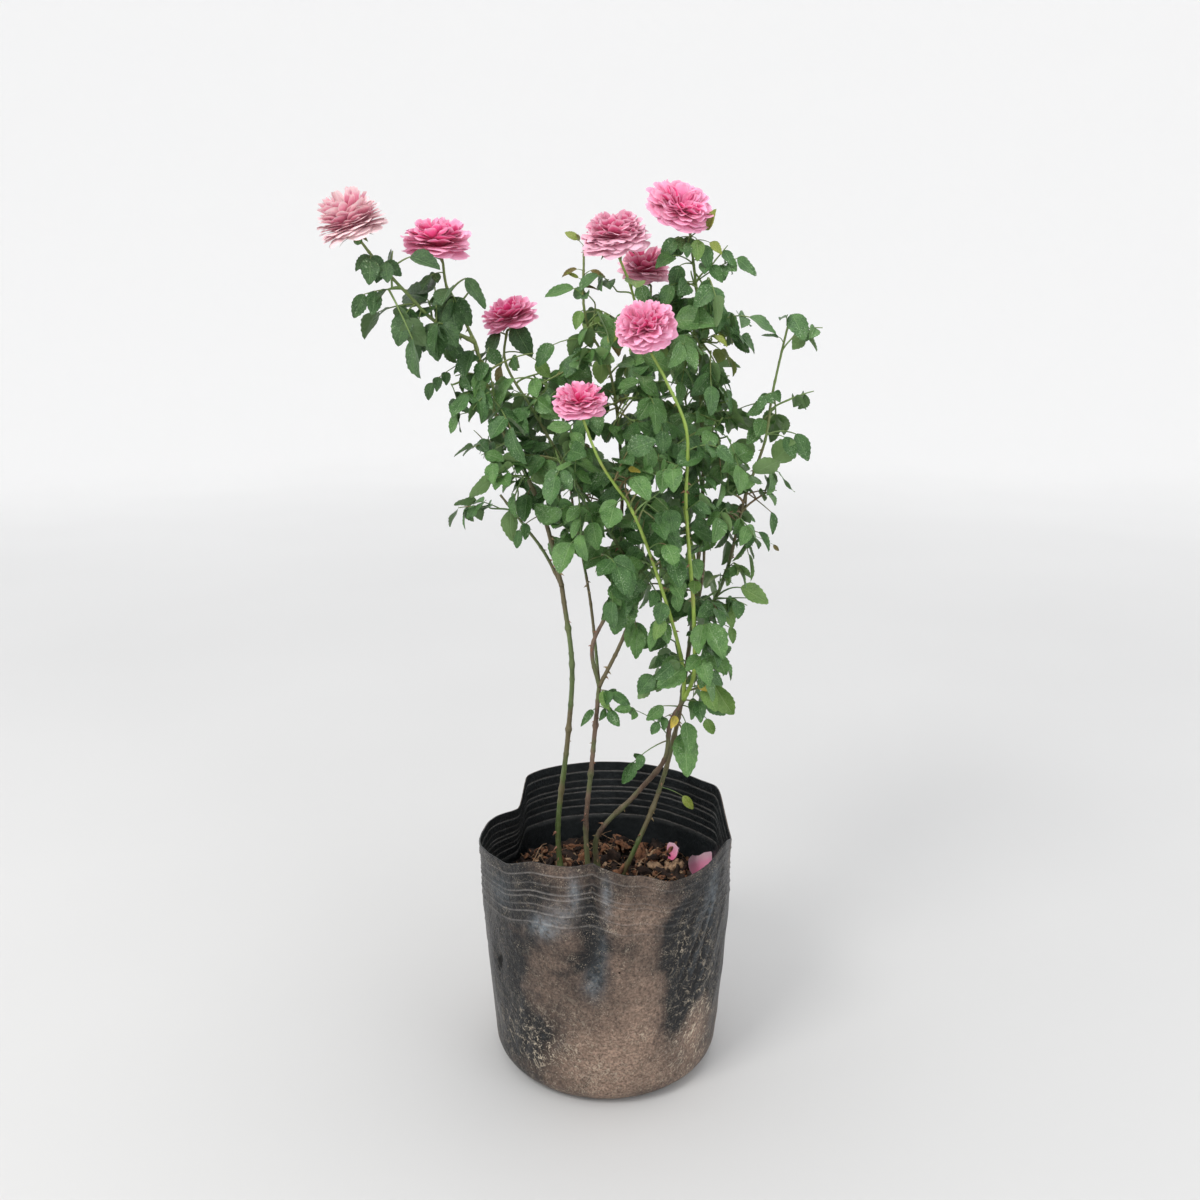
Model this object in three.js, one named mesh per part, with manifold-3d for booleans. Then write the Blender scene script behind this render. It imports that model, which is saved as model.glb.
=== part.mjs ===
// A potted rose bush: a soft nursery bag of potting mix, four canes that fork into boughs,
// uneven masses of foliage round them and double rose blooms at the tips.
// Millimetres, +Z up. The origin is the middle of the bag's flat underside, and -Y is its front.
import * as THREE from "three";
import { mergeVertices } from "three/addons/utils/BufferGeometryUtils.js";
import Module from "manifold-3d";

const wasm = await Module();
wasm.setup();

// ---- Driving dimensions -------------------------------------------------------------------

const GAP = 0.4; // clearance that a piece keeps to the one it touches
const MASS_GAP = 0.9; // the same between two foliage masses, measured outwards from the middle

const BAG = {
  rimRadius: 165, // a 13-inch nursery bag
  baseRadius: 149,
  cornerRadius: 30, // the round turn from the wall to the underside
  wall: 2.6,
  bulge: 3, // how far the filled wall swells at half its height
  sides: 30,
};
// The soft rim rises and falls: angle from +X in degrees, and height there.
const RIM = [
  [0, 303], [20, 343], [40, 337], [134, 336], [143, 297], [180, 303], [218, 317],
  [240, 337], [263, 341], [282, 330], [300, 313], [318, 316], [335, 326],
];
const RIM_TOP = Math.max(...RIM.map(([, height]) => height));
// Places where the wall leaves its round: angle, half width, and how far it comes in at the rim.
const FOLDS = [
  { angle: 263, spread: 7, inward: 9 }, // crease in the front wall
  { angle: 143, spread: 10, inward: 12 }, // slack fold at the back left
  { angle: 12, spread: 10, inward: 5 }, // slack fold at the right
];

const SOIL = { wallHeight: 207, crownHeight: 222, plateau: 78, centre: [-8, 42] };

const CANE_SIDES = 6;
const ROOM_SIDES = 4; // a limb's neighbours leave a square way for it
const CANE_STEP = 62; // longest straight stretch of a faceted limb
const FLARE = { height: 14, factor: 1.7 }; // the foot of each cane spreads by this factor

const MASS_DETAIL = 1; // how often the faces of a foliage mass are divided

const BLOOM = { sides: 10, heightRatio: 0.48, ruffle: 0.06 };

const FINISH = {
  bag: { color: 0x3b3835, roughness: 0.62 },
  soil: { color: 0x3a2418, roughness: 0.97 },
  brown: { color: 0x6b5444, roughness: 0.8 },
  green: { color: 0x5f8440, roughness: 0.55 },
  leaf: { color: 0x2f5c38, roughness: 0.6 },
  petal: { color: 0xf07ba6, roughness: 0.55 },
};

// ---- Limbs: each is one tapering branch from its foot to its tip ---------------------------

const LIMBS = [
  { name: "cane_left", bark: "green", radius: [3.6, 3.0], flared: true,
    path: [[-62, 50, 222.4], [-65, 48, 290], [-50, 36, 429], [-44, 28, 528], [-56, 15, 637]] },
  { name: "bough_left", bark: "green", radius: [2.9, 2.4],
    path: [[-56, 15, 637], [-75, 5, 722], [-99, -5, 785], [-129, -15, 848], [-152, -25, 936]] },
  { name: "bough_arch", bark: "green", radius: [2.3, 1.5],
    path: [[-152, -25, 936], [-197, -35, 961], [-226, -45, 992], [-260, -55, 1031],
      [-271, -57, 1046]] },
  { name: "bough_arch_side", bark: "green", radius: [2.0, 1.5],
    path: [[-152, -25, 936], [-166, -20, 965], [-183, -15, 996], [-188, -10, 1027]] },
  { name: "bough_left_side", bark: "green", radius: [2.3, 1.5],
    path: [[-56, 15, 637], [-78, 25, 678], [-102, 40, 707], [-134, 60, 744]] },
  { name: "cane_middle", bark: "brown", radius: [3.4, 2.9], flared: true,
    path: [[-24, 45, 222.4], [-27, 42, 297], [-19, 38, 386], [-9, 30, 499]] },
  { name: "bough_middle", bark: "brown", radius: [2.7, 1.3],
    path: [[-9, 30, 499], [-18, 25, 552], [7, 20, 617], [19, 28, 718], [5, 30, 895],
      [-25, 30, 962], [-27, 30, 1044]] },
  { name: "bough_middle_left", bark: "green", radius: [2.6, 1.5],
    path: [[-9, 30, 499], [20, 15, 566], [39, 0, 635], [10, -15, 702], [-40, -20, 779],
      [-92, 15, 860], [-124, 50, 912], [-121, 58, 946]] },
  { name: "bough_middle_back", bark: "green", radius: [2.2, 1.3],
    path: [[-9, 30, 499], [-21, 85, 600], [-45, 130, 725], [-58, 140, 843]] },
  { name: "cane_right", bark: "brown", radius: [3.5, 3.0], flared: true,
    path: [[-12, 62, 222.4], [-12, 58, 272], [39, 52, 336], [78, 36, 396], [84, 30, 448],
      [100, 20, 484]] },
  { name: "bough_front", bark: "green", radius: [2.8, 1.6],
    path: [[100, 20, 484], [110, 0, 522], [107, -20, 610], [93, -45, 751], [91, -55, 839],
      [67, -64, 894], [49, -66, 926]] },
  { name: "bough_front_left", bark: "green", radius: [2.5, 1.5],
    path: [[100, 20, 484], [97, 5, 533], [67, -35, 644], [29, -65, 747], [-8, -80, 806],
      [-27, -86, 855]] },
  { name: "cane_back", bark: "green", radius: [3.3, 2.9], flared: true,
    path: [[22, 42, 222.4], [42, 40, 269], [73, 58, 343], [96, 66, 437], [110, 60, 552]] },
  { name: "bough_top", bark: "green", radius: [2.8, 1.5],
    path: [[110, 60, 552], [117, 60, 640], [122, 62, 763], [116, 52, 863], [109, 35, 971],
      [96, 24, 1064]] },
  { name: "bough_right", bark: "green", radius: [2.5, 1.3],
    path: [[110, 60, 552], [149, 52, 631], [173, 40, 745], [194, 30, 817], [201, 30, 875],
      [216, 25, 957]] },
  { name: "bough_back_right", bark: "green", radius: [2.2, 1.3],
    path: [[110, 60, 552], [130, 110, 648], [120, 150, 762], [102, 150, 868]] },
  { name: "bough_inner", bark: "green", radius: [2.4, 1.4],
    path: [[117, 60, 640], [98, 85, 733], [67, 75, 837], [46, 40, 924], [29, 8, 994],
      [13, -8, 1032]] },
  { name: "bough_inner_back", bark: "green", radius: [1.9, 1.3],
    path: [[46, 40, 924], [53, 60, 965], [54, 68, 998]] },
];

// ---- Blooms: middle of the disc, radius, and the direction in which it faces ----------------

const BLOOMS = [
  { name: "bloom_arch_tip", at: [-284, -60, 1066], radius: 42, facing: [-0.45, -0.2, 0.87] },
  { name: "bloom_arch", at: [-191, -14, 1047], radius: 38, facing: [0, -0.4, 0.91] },
  { name: "bloom_behind_arch", at: [-119, 62, 966], radius: 35, facing: [0, -0.3, 0.95] },
  { name: "bloom_middle", at: [9, -13, 1054], radius: 39, facing: [-0.05, -0.38, 0.92] },
  { name: "bloom_top", at: [88, 12, 1088], radius: 40, facing: [0.14, -0.74, 0.66] },
  { name: "bloom_shaded", at: [50, 68, 1018], radius: 34, facing: [0.1, -0.3, 0.95] },
  { name: "bloom_front", at: [42, -74, 951], radius: 37, facing: [0, -0.62, 0.78] },
  { name: "bloom_front_left", at: [-31, -94, 875], radius: 32, facing: [0, -0.5, 0.86] },
];

// ---- Foliage: middle and half sizes of each mass --------------------------------------------

const FOLIAGE = [
  { name: "foliage_arch_tip", at: [-257, -50, 995], half: [31, 27, 42] },
  { name: "foliage_arch_middle", at: [-207, -40, 953], half: [35, 36, 44] },
  { name: "foliage_arch_root", at: [-172, -10, 993], half: [52, 36, 34] },
  { name: "foliage_left_upper", at: [-132, -10, 898], half: [48, 50, 58] },
  { name: "foliage_left_hanging", at: [-190, -40, 890], half: [28, 24, 26] },
  { name: "foliage_left_middle", at: [-125, 0, 805], half: [56, 56, 50] },
  { name: "foliage_left_lower", at: [-137, 38, 725], half: [52, 48, 52] },
  { name: "foliage_centre_left", at: [-62, 22, 885], half: [56, 56, 56] },
  { name: "foliage_centre", at: [-55, -38, 790], half: [62, 60, 54] },
  { name: "foliage_centre_low", at: [-12, -30, 693], half: [56, 54, 50] },
  { name: "foliage_upper_centre", at: [0, 28, 980], half: [42, 46, 64] },
  { name: "foliage_under_top", at: [112, 20, 1012], half: [50, 48, 46] },
  { name: "foliage_upper_right", at: [112, 0, 938], half: [56, 56, 48] },
  { name: "foliage_upper_core", at: [38, 12, 866], half: [60, 62, 58] },
  { name: "foliage_right_upper", at: [132, 20, 840], half: [56, 62, 58] },
  { name: "foliage_core", at: [50, -52, 780], half: [60, 60, 56] },
  { name: "foliage_right_middle", at: [137, 10, 740], half: [48, 60, 56] },
  { name: "foliage_core_low", at: [55, -35, 678], half: [56, 54, 50] },
  { name: "foliage_right_low", at: [127, 38, 615], half: [56, 52, 55] },
  { name: "foliage_right_tip", at: [217, 25, 945], half: [29, 28, 28] },
  { name: "foliage_right_bough", at: [208, 30, 855], half: [40, 40, 54] },
  { name: "foliage_right_bough_low", at: [192, 42, 742], half: [42, 42, 60] },
  { name: "foliage_low_right", at: [105, 24, 545], half: [52, 44, 52] },
  { name: "foliage_shoot_right", at: [112, 36, 392], half: [22, 18, 34] },
  { name: "foliage_shoot_left", at: [-3, 0, 482], half: [38, 20, 28] },
  { name: "foliage_back_left", at: [-62, 132, 840], half: [62, 54, 72] },
  { name: "foliage_back_middle", at: [24, 140, 745], half: [62, 54, 72] },
  { name: "foliage_back_right", at: [104, 138, 870], half: [62, 56, 74] },
  { name: "foliage_back_top", at: [28, 126, 935], half: [46, 48, 56] },
  { name: "foliage_back_low", at: [70, 118, 632], half: [54, 46, 56] },
];

// ---- Geometry helpers -----------------------------------------------------------------------

// A closed skin over rings of equally many points, with a fan over each end ring.
function skin(rings) {
  const sides = rings[0].length;
  const points = rings.flat();
  const index = [];
  for (let r = 0; r + 1 < rings.length; r++)
    for (let i = 0; i < sides; i++) {
      const a = r * sides + i;
      const b = r * sides + ((i + 1) % sides);
      index.push(a, b, b + sides, a, b + sides, a + sides);
    }
  const cap = (ring, first, reversed) => {
    const middle = points.length;
    points.push(ring.reduce((sum, p) => sum.add(p), new THREE.Vector3()).divideScalar(sides));
    for (let i = 0; i < sides; i++) {
      const pair = [first + i, first + ((i + 1) % sides)];
      index.push(...(reversed ? [middle, pair[1], pair[0]] : [middle, pair[0], pair[1]]));
    }
  };
  cap(rings[0], 0, true);
  cap(rings.at(-1), (rings.length - 1) * sides, false);
  return new THREE.BufferGeometry().setFromPoints(points).setIndex(index);
}

function solidOf(geometry) {
  const bare = new THREE.BufferGeometry();
  bare.setAttribute("position", geometry.getAttribute("position").clone());
  bare.setIndex(geometry.index ? geometry.index.clone() : null);
  const merged = mergeVertices(bare, 1e-3);
  return new wasm.Manifold(
    new wasm.Mesh({
      numProp: 3,
      vertProperties: new Float32Array(merged.attributes.position.array),
      triVerts: new Uint32Array(merged.index.array),
    }),
  );
}

function geometryOf(solid) {
  const { vertProperties, triVerts } = solid.getMesh();
  return new THREE.BufferGeometry()
    .setAttribute("position", new THREE.BufferAttribute(vertProperties, 3))
    .setIndex(new THREE.BufferAttribute(triVerts, 1));
}

// A cut can shave small crumbs off a piece: the largest body is the piece.
function largestBody(solid) {
  return solid.decompose().reduce((best, body) => (body.volume() > best.volume() ? body : best));
}

function finishOf({ color, roughness }) {
  return new THREE.MeshStandardMaterial({ color, roughness, metalness: 0, flatShading: true });
}

function meshOf(name, solid, finish) {
  const mesh = new THREE.Mesh(geometryOf(solid), finishOf(finish));
  mesh.name = name;
  return mesh;
}

const radians = THREE.MathUtils.degToRad;

// ---- The bag and its soil ---------------------------------------------------------------------

// Height of the rim at an angle, eased from each stated height to the next.
function rimHeight(phi) {
  const angle = THREE.MathUtils.radToDeg(phi) % 360;
  const at = RIM.findLastIndex(([start]) => start <= angle);
  const [start, height] = RIM[at];
  const [end, next] = RIM[at + 1] ?? [360, RIM[0][1]];
  return THREE.MathUtils.lerp(height, next, THREE.MathUtils.smoothstep(angle, start, end));
}

// How far the folds pull the rim in at an angle.
function foldDepth(phi) {
  const angle = THREE.MathUtils.radToDeg(phi);
  return FOLDS.reduce((sum, fold) => {
    const away = Math.abs(THREE.MathUtils.euclideanModulo(angle - fold.angle + 180, 360) - 180);
    return sum + fold.inward * Math.exp(-((away / fold.spread) ** 2));
  }, 0);
}

// Outer radius of the wall, at a share of its height from 0 at the foot to 1 at the rim.
function wallRadius(phi, share) {
  const slack = THREE.MathUtils.smoothstep(share, 0.55, 1);
  const swell = BAG.bulge * Math.sin(Math.PI * share);
  return THREE.MathUtils.lerp(BAG.baseRadius, BAG.rimRadius, share) + swell - slack * foldDepth(phi);
}

function ringAt(radiusOf, heightOf) {
  return Array.from({ length: BAG.sides }, (_, i) => {
    const phi = (i / BAG.sides) * 2 * Math.PI;
    const r = radiusOf(phi);
    return new THREE.Vector3(r * Math.cos(phi), r * Math.sin(phi), heightOf(phi));
  });
}

// Rings of the bag's wall set in by `inset`, from the underside up to `top` of the wall.
function wallRings(inset, shares) {
  const corner = BAG.cornerRadius - inset;
  const rings = [0, 45, 90].map((turn) => {
    const out = corner * Math.sin(radians(turn));
    const up = inset + corner * (1 - Math.cos(radians(turn)));
    return ringAt(() => BAG.baseRadius - inset - corner + out, () => up);
  });
  for (const share of shares)
    rings.push(
      ringAt(
        (phi) => wallRadius(phi, share) - inset,
        (phi) => THREE.MathUtils.lerp(BAG.cornerRadius, rimHeight(phi), share),
      ),
    );
  return rings;
}

const WALL_SHARES = [0.33, 0.62, 0.8, 1];

function bag() {
  const hollow = wallRings(BAG.wall, WALL_SHARES);
  const mouth = hollow.at(-1).map((p) => p.clone().setZ(2 * RIM_TOP));
  return solidOf(skin(wallRings(0, WALL_SHARES))).subtract(solidOf(skin([...hollow, mouth])));
}

// The soil fills the bag to a level that rises to a low flat mound where the canes stand.
function soil() {
  const [cx, cy] = SOIL.centre;
  const filling = solidOf(skin(wallRings(BAG.wall + GAP, WALL_SHARES)));
  const ring = (radius, height) =>
    Array.from({ length: BAG.sides }, (_, i) => {
      const phi = (i / BAG.sides) * 2 * Math.PI;
      const slide = radius > SOIL.plateau ? 0 : 1;
      return new THREE.Vector3(
        slide * cx + radius * Math.cos(phi),
        slide * cy + radius * Math.sin(phi),
        height,
      );
    });
  const above = [
    ring(SOIL.plateau, SOIL.crownHeight),
    ring(BAG.rimRadius + 20, SOIL.wallHeight - 4),
    ring(BAG.rimRadius + 20, 2 * RIM_TOP),
  ];
  return largestBody(filling.subtract(solidOf(skin(above))));
}

// ---- Limbs ------------------------------------------------------------------------------------

// A faceted limb with `sides` faces round it, grown all round and at both ends by `extra`.
function limb({ path, radius, flared }, sides = CANE_SIDES, extra = 0) {
  const curve = new THREE.CatmullRomCurve3(path.map((p) => new THREE.Vector3(...p)));
  const length = curve.getLength();
  const steps = Math.max(path.length - 1, Math.ceil(length / CANE_STEP));
  const shares = Array.from({ length: steps + 1 }, (_, i) => i / steps);
  if (flared) shares.splice(1, 0, FLARE.height / length);
  const side = new THREE.Vector3(0, -1, 0);
  const rings = shares.map((share, i) => {
    const centre = curve.getPointAt(share);
    const along = curve.getTangentAt(share);
    if (i === 0 && flared) along.set(0, 0, 1); // a flat cut at soil level
    side.addScaledVector(along, -side.dot(along)).normalize();
    const up = new THREE.Vector3().crossVectors(along, side);
    const end = i === 0 ? -1 : i === shares.length - 1 ? 1 : 0;
    centre.addScaledVector(along, end * extra);
    const flare = flared && i === 0 ? FLARE.factor : 1;
    const r = THREE.MathUtils.lerp(radius[0], radius[1], share) * flare + extra;
    return Array.from({ length: sides }, (_, k) => {
      const turn = (k / sides) * 2 * Math.PI;
      return centre
        .clone()
        .addScaledVector(side, r * Math.cos(turn))
        .addScaledVector(up, r * Math.sin(turn));
    });
  });
  return solidOf(skin(rings));
}

// The room that a limb's neighbours leave it: fewer faces, far enough out to clear its own.
function limbRoom(shape) {
  const radius = shape.radius.map((r) => (r + GAP) / Math.cos(Math.PI / ROOM_SIDES));
  return limb({ ...shape, radius }, ROOM_SIDES, GAP);
}

// ---- Blooms -----------------------------------------------------------------------------------

// A full double bloom: a shallow cup below its widest ring and a low dome of petals above it.
function bloom({ at, radius, facing }, index, extra = 0) {
  const height = BLOOM.heightRatio * radius;
  const profile = [[0.16, -1], [0.7, -0.68], [1, 0], [0.8, 0.74], [0.36, 1]];
  const rings = profile.map(([out, up], row) =>
    Array.from({ length: BLOOM.sides }, (_, i) => {
      const phi = (i / BLOOM.sides) * 2 * Math.PI;
      const ruffle = 1 + BLOOM.ruffle * Math.sin(3 * phi + index + row);
      const r = out * radius * ruffle + extra;
      return new THREE.Vector3(r * Math.cos(phi), r * Math.sin(phi), up * (height + extra));
    }),
  );
  const geometry = skin(rings);
  const turn = new THREE.Quaternion().setFromUnitVectors(
    new THREE.Vector3(0, 0, 1),
    new THREE.Vector3(...facing).normalize(),
  );
  geometry.applyQuaternion(turn).translate(...at);
  return solidOf(geometry);
}

// ---- Foliage ----------------------------------------------------------------------------------

// A round mass pushed in and out by three slow waves, whose directions its number sets.
function foliage({ at, half }, index, extra = 0) {
  const geometry = new THREE.IcosahedronGeometry(1, MASS_DETAIL);
  const position = geometry.getAttribute("position");
  const waves = [1, 2, 3].map((k) => {
    const phase = 2.399 * (index * 3 + k);
    const axis = new THREE.Vector3(Math.cos(phase), Math.sin(phase), Math.sin(1.7 * phase));
    return { axis: axis.normalize(), beat: 2 + k, phase };
  });
  const p = new THREE.Vector3();
  for (let i = 0; i < position.count; i++) {
    p.fromBufferAttribute(position, i).normalize();
    const swell = waves.reduce((sum, w) => sum + 0.07 * Math.sin(w.beat * p.dot(w.axis) + w.phase), 1);
    const lobe = p.clone().multiply(new THREE.Vector3(...half)).multiplyScalar(swell);
    lobe.addScaledVector(p, extra);
    position.setXYZ(i, at[0] + lobe.x, at[1] + lobe.y, at[2] + lobe.z);
  }
  return solidOf(geometry);
}

// ---- Assembly ---------------------------------------------------------------------------------

const group = new THREE.Group();
const pot = new THREE.Group();
const canes = new THREE.Group();
const crown = new THREE.Group();
const blossom = new THREE.Group();
group.add(pot, canes, crown, blossom);

pot.add(meshOf("bag", bag(), FINISH.bag));
pot.add(meshOf("soil", soil(), FINISH.soil));

// Each piece is cut back from the room that the pieces before it keep.
let taken = null;
function place(parent, name, solid, room, finish) {
  const piece = taken ? largestBody(solid.subtract(taken)) : solid;
  taken = taken ? taken.add(room) : room;
  parent.add(meshOf(name, piece, finish));
}

LIMBS.forEach((l) => place(canes, l.name, limb(l), limbRoom(l), FINISH[l.bark]));
BLOOMS.forEach((b, i) => place(blossom, b.name, bloom(b, i), bloom(b, i, GAP), FINISH.petal));
FOLIAGE.forEach((f, i) =>
  place(crown, f.name, foliage(f, i), foliage(f, i, MASS_GAP), FINISH.leaf),
);

export default group;
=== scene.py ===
"""A potted rose bush: a scuffed soft bag, thorny canes, airy foliage and double pink blooms.

Metres, +Z up, -Y towards the front. The canes follow the limbs of the frame, leaves grow on
twigs and limbs inside each foliage mass, and every bloom is a spiral of cupped petals.
"""
import logging
import math
from dataclasses import dataclass, field
from enum import Enum
from functools import cache
from typing import Sequence

import bmesh
import bpy
import numpy as np
from mathutils import Matrix, Vector, noise


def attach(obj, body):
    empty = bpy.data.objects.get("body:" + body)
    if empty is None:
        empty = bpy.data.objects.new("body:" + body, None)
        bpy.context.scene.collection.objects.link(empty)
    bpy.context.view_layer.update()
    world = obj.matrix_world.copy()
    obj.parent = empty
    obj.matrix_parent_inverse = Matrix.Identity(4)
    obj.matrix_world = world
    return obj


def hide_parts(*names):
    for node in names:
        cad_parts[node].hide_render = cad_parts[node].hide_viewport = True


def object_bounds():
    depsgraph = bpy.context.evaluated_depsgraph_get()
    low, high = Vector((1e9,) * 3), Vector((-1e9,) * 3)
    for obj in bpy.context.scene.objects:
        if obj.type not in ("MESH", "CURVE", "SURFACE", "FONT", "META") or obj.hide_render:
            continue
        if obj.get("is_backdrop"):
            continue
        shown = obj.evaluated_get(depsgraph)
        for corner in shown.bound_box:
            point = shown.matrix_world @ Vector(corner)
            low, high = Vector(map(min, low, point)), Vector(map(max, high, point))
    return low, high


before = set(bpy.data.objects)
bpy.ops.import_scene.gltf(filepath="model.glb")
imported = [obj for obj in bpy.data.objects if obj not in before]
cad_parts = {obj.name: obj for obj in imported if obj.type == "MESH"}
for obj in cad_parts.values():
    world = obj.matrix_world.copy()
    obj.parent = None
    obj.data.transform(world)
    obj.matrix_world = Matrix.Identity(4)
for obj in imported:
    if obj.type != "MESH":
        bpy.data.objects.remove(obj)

LOG = logging.getLogger("rose_bush")
MM = 0.001
BODY = "root"
GOLDEN = math.radians(137.508)
UP = np.array([0.0, 0.0, 1.0])
DOWN = -UP
FRONT = np.array([0.0, -1.0, 0.0])
LEAF_REACH = np.array([0.006, 0.006, 0.004])
EYE = (-0.008, -1.379, 0.992)
PITCH = 15.0
NUMBER, VECTOR, COLOUR = ("NodeSocket" + kind for kind in ("Float", "Vector", "Color"))

Colour = tuple[float, float, float]
Point = tuple[float, float, float]
Array = np.ndarray
Random = np.random.Generator
Mesh = bmesh.types.BMesh
Piece = bpy.types.Object
Socket = bpy.types.NodeSocket
Sockets = dict[str, object]


# ---- Small vector helpers ----


def unit(v: Array) -> Array:
    """Scale a vector, or each row of an array of vectors, to length one.

    Args:
        v: One vector or an array of them.

    Returns:
        The same directions with length one.
    """
    return v / np.maximum(np.linalg.norm(v, axis=-1, keepdims=True), 1e-9)


def across(v: Array, direction: Array) -> Array:
    """Take out of a vector its share along a direction.

    Args:
        v: The vector.
        direction: A unit vector.

    Returns:
        The unit vector nearest to v that is square to the direction.
    """
    return unit(v - direction * float(v @ direction))


def smoothstep(x: float | Array, low: float, high: float) -> float | Array:
    """Ease from 0 at low to 1 at high.

    Args:
        x: Where to look.
        low: Start of the ease.
        high: End of the ease.

    Returns:
        The eased value, from 0 to 1.
    """
    t = np.clip((x - low) / (high - low), 0.0, 1.0)
    return t * t * (3.0 - 2.0 * t)


def mm(values: Sequence) -> Array:
    """Turn a point, or rows of points, from millimetres into metres."""
    return np.array(values, float) * MM


def cubic(t: Array) -> Array:
    """Give the weights of a cubic curve's four control points, one row for each of t."""
    return np.stack([(1 - t) ** 3, 3 * (1 - t) ** 2 * t, 3 * (1 - t) * t * t, t ** 3], -1)


def around(ahead: Array, turn: float) -> Array:
    """Give the direction square to a limb at an angle round it, counted from its front."""
    side = across(FRONT, ahead)
    return side * math.cos(turn) + np.cross(ahead, side) * math.sin(turn)


class Spine:
    """A smooth path through a few points, read by its share of the whole length."""

    def __init__(self, points: Array, fineness: int = 24) -> None:
        """Sample the path.

        Args:
            points: The points that it passes through.
            fineness: Samples between two neighbouring points.
        """
        ends = [2 * points[0] - points[1], *points, 2 * points[-1] - points[-2]]
        rows = [points[0]]
        for a, b, c, d in zip(ends, ends[1:], ends[2:], ends[3:]):
            rows.extend(self._stretch(a, b, c, d, fineness))
        self.rows = np.array(rows)
        steps = np.linalg.norm(np.diff(self.rows, axis=0), axis=1)
        self.marks = np.concatenate([[0.0], np.cumsum(steps)])
        self.length = float(self.marks[-1])

    @staticmethod
    def _stretch(a: Array, b: Array, c: Array, d: Array, fineness: int) -> list[Array]:
        """Sample the centripetal curve between the two middle points of four.

        Args:
            a: The point before.
            b: Start of the stretch.
            c: End of the stretch.
            d: The point after.
            fineness: How many samples to return.

        Returns:
            The samples after b, up to c.
        """
        knots = [0.0]
        for p, q in ((a, b), (b, c), (c, d)):
            knots.append(knots[-1] + max(math.sqrt(float(np.linalg.norm(q - p))), 1e-6))
        t0, t1, t2, t3 = knots
        rows = []
        for t in np.linspace(t1, t2, fineness + 1)[1:]:
            ab = (t1 - t) / (t1 - t0) * a + (t - t0) / (t1 - t0) * b
            bc = (t2 - t) / (t2 - t1) * b + (t - t1) / (t2 - t1) * c
            cd = (t3 - t) / (t3 - t2) * c + (t - t2) / (t3 - t2) * d
            left = (t2 - t) / (t2 - t0) * ab + (t - t0) / (t2 - t0) * bc
            right = (t3 - t) / (t3 - t1) * bc + (t - t1) / (t3 - t1) * cd
            rows.append((t2 - t) / (t2 - t1) * left + (t - t1) / (t2 - t1) * right)
        return rows

    def at(self, share: float | Array) -> Array:
        """Give the point at a share of the length, or one row for each share."""
        mark = np.asarray(share) * self.length
        return np.stack([np.interp(mark, self.marks, self.rows[:, i]) for i in range(3)], -1)

    def along(self, share: float) -> Array:
        """Give the unit direction of the path at a share of the length."""
        return unit(self.at(min(share + 0.01, 1.0)) - self.at(max(share - 0.01, 0.0)))

    def frames(self, shares: Array) -> tuple[Array, Array, Array]:
        """Carry two directions square to the path along it without twist.

        Args:
            shares: Where to give them.

        Returns:
            The points and the two square directions, one row each.
        """
        points = self.at(shares)
        side = FRONT
        sides, tops = [], []
        for share in shares:
            ahead = self.along(float(share))
            side = across(side, ahead)
            sides.append(side)
            tops.append(np.cross(ahead, side))
        return points, np.array(sides), np.array(tops)


# ---- Meshes ----


def link(name: str, mesh: bpy.types.Mesh) -> Piece:
    """Put a mesh into the scene as a smooth object at the origin.

    Args:
        name: The piece's name.
        mesh: Its mesh, in place.

    Returns:
        The new object.
    """
    mesh.polygons.foreach_set("use_smooth", [True] * len(mesh.polygons))
    piece = bpy.data.objects.new(name, mesh)
    bpy.context.scene.collection.objects.link(piece)
    return piece


def from_bmesh(name: str, bm: Mesh) -> Piece:
    """Turn a finished bmesh into an object and free it.

    Args:
        name: The piece's name.
        bm: The bmesh.

    Returns:
        The new object.
    """
    mesh = bpy.data.meshes.new(name)
    bm.to_mesh(mesh)
    bm.free()
    return link(name, mesh)


def finish_piece(piece: Piece, finish: "Finish", slot: str, *nodes: str) -> None:
    """Dress a piece, set it riding on the bush and hide the frame nodes that it stands for.

    Args:
        piece: The piece.
        finish: Its finish.
        slot: Not used.
        *nodes: Frame nodes that it replaces.
    """
    piece.data.materials.append(finish.build())
    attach(piece, BODY)
    if nodes:
        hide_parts(*nodes)
    LOG.info("%s: %d faces", piece.name, len(piece.data.polygons))


def spin(profile: list[tuple[float, float]], steps: int) -> Mesh:
    """Spin a profile round the Z axis.

    Args:
        profile: Its points as (radius, height).
        steps: Faces round it.

    Returns:
        The closed bmesh.
    """
    bm = bmesh.new()
    ring = [bm.verts.new((r, 0.0, z)) for r, z in profile]
    edges = [bm.edges.new(pair) for pair in zip(ring, ring[1:])]
    bmesh.ops.spin(bm, geom=ring + edges, cent=(0, 0, 0), axis=(0, 0, 1),
                   angle=2 * math.pi, steps=steps, use_merge=True)
    bmesh.ops.remove_doubles(bm, verts=bm.verts, dist=1e-5)
    return bm


def grow(bm: Mesh, edges: list[bmesh.types.BMEdge]) -> tuple[list, list]:
    """Extrude a ring of edges.

    Args:
        bm: The bmesh.
        edges: The ring's edges.

    Returns:
        The points and the edges of the new ring, which still lies on the old one.
    """
    grown = bmesh.ops.extrude_edge_only(bm, edges=edges)["geom"]
    verts = [g for g in grown if isinstance(g, bmesh.types.BMVert)]
    new = set(verts)
    return verts, [g for g in grown if isinstance(g, bmesh.types.BMEdge)
                   and g.verts[0] in new and g.verts[1] in new]


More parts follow.
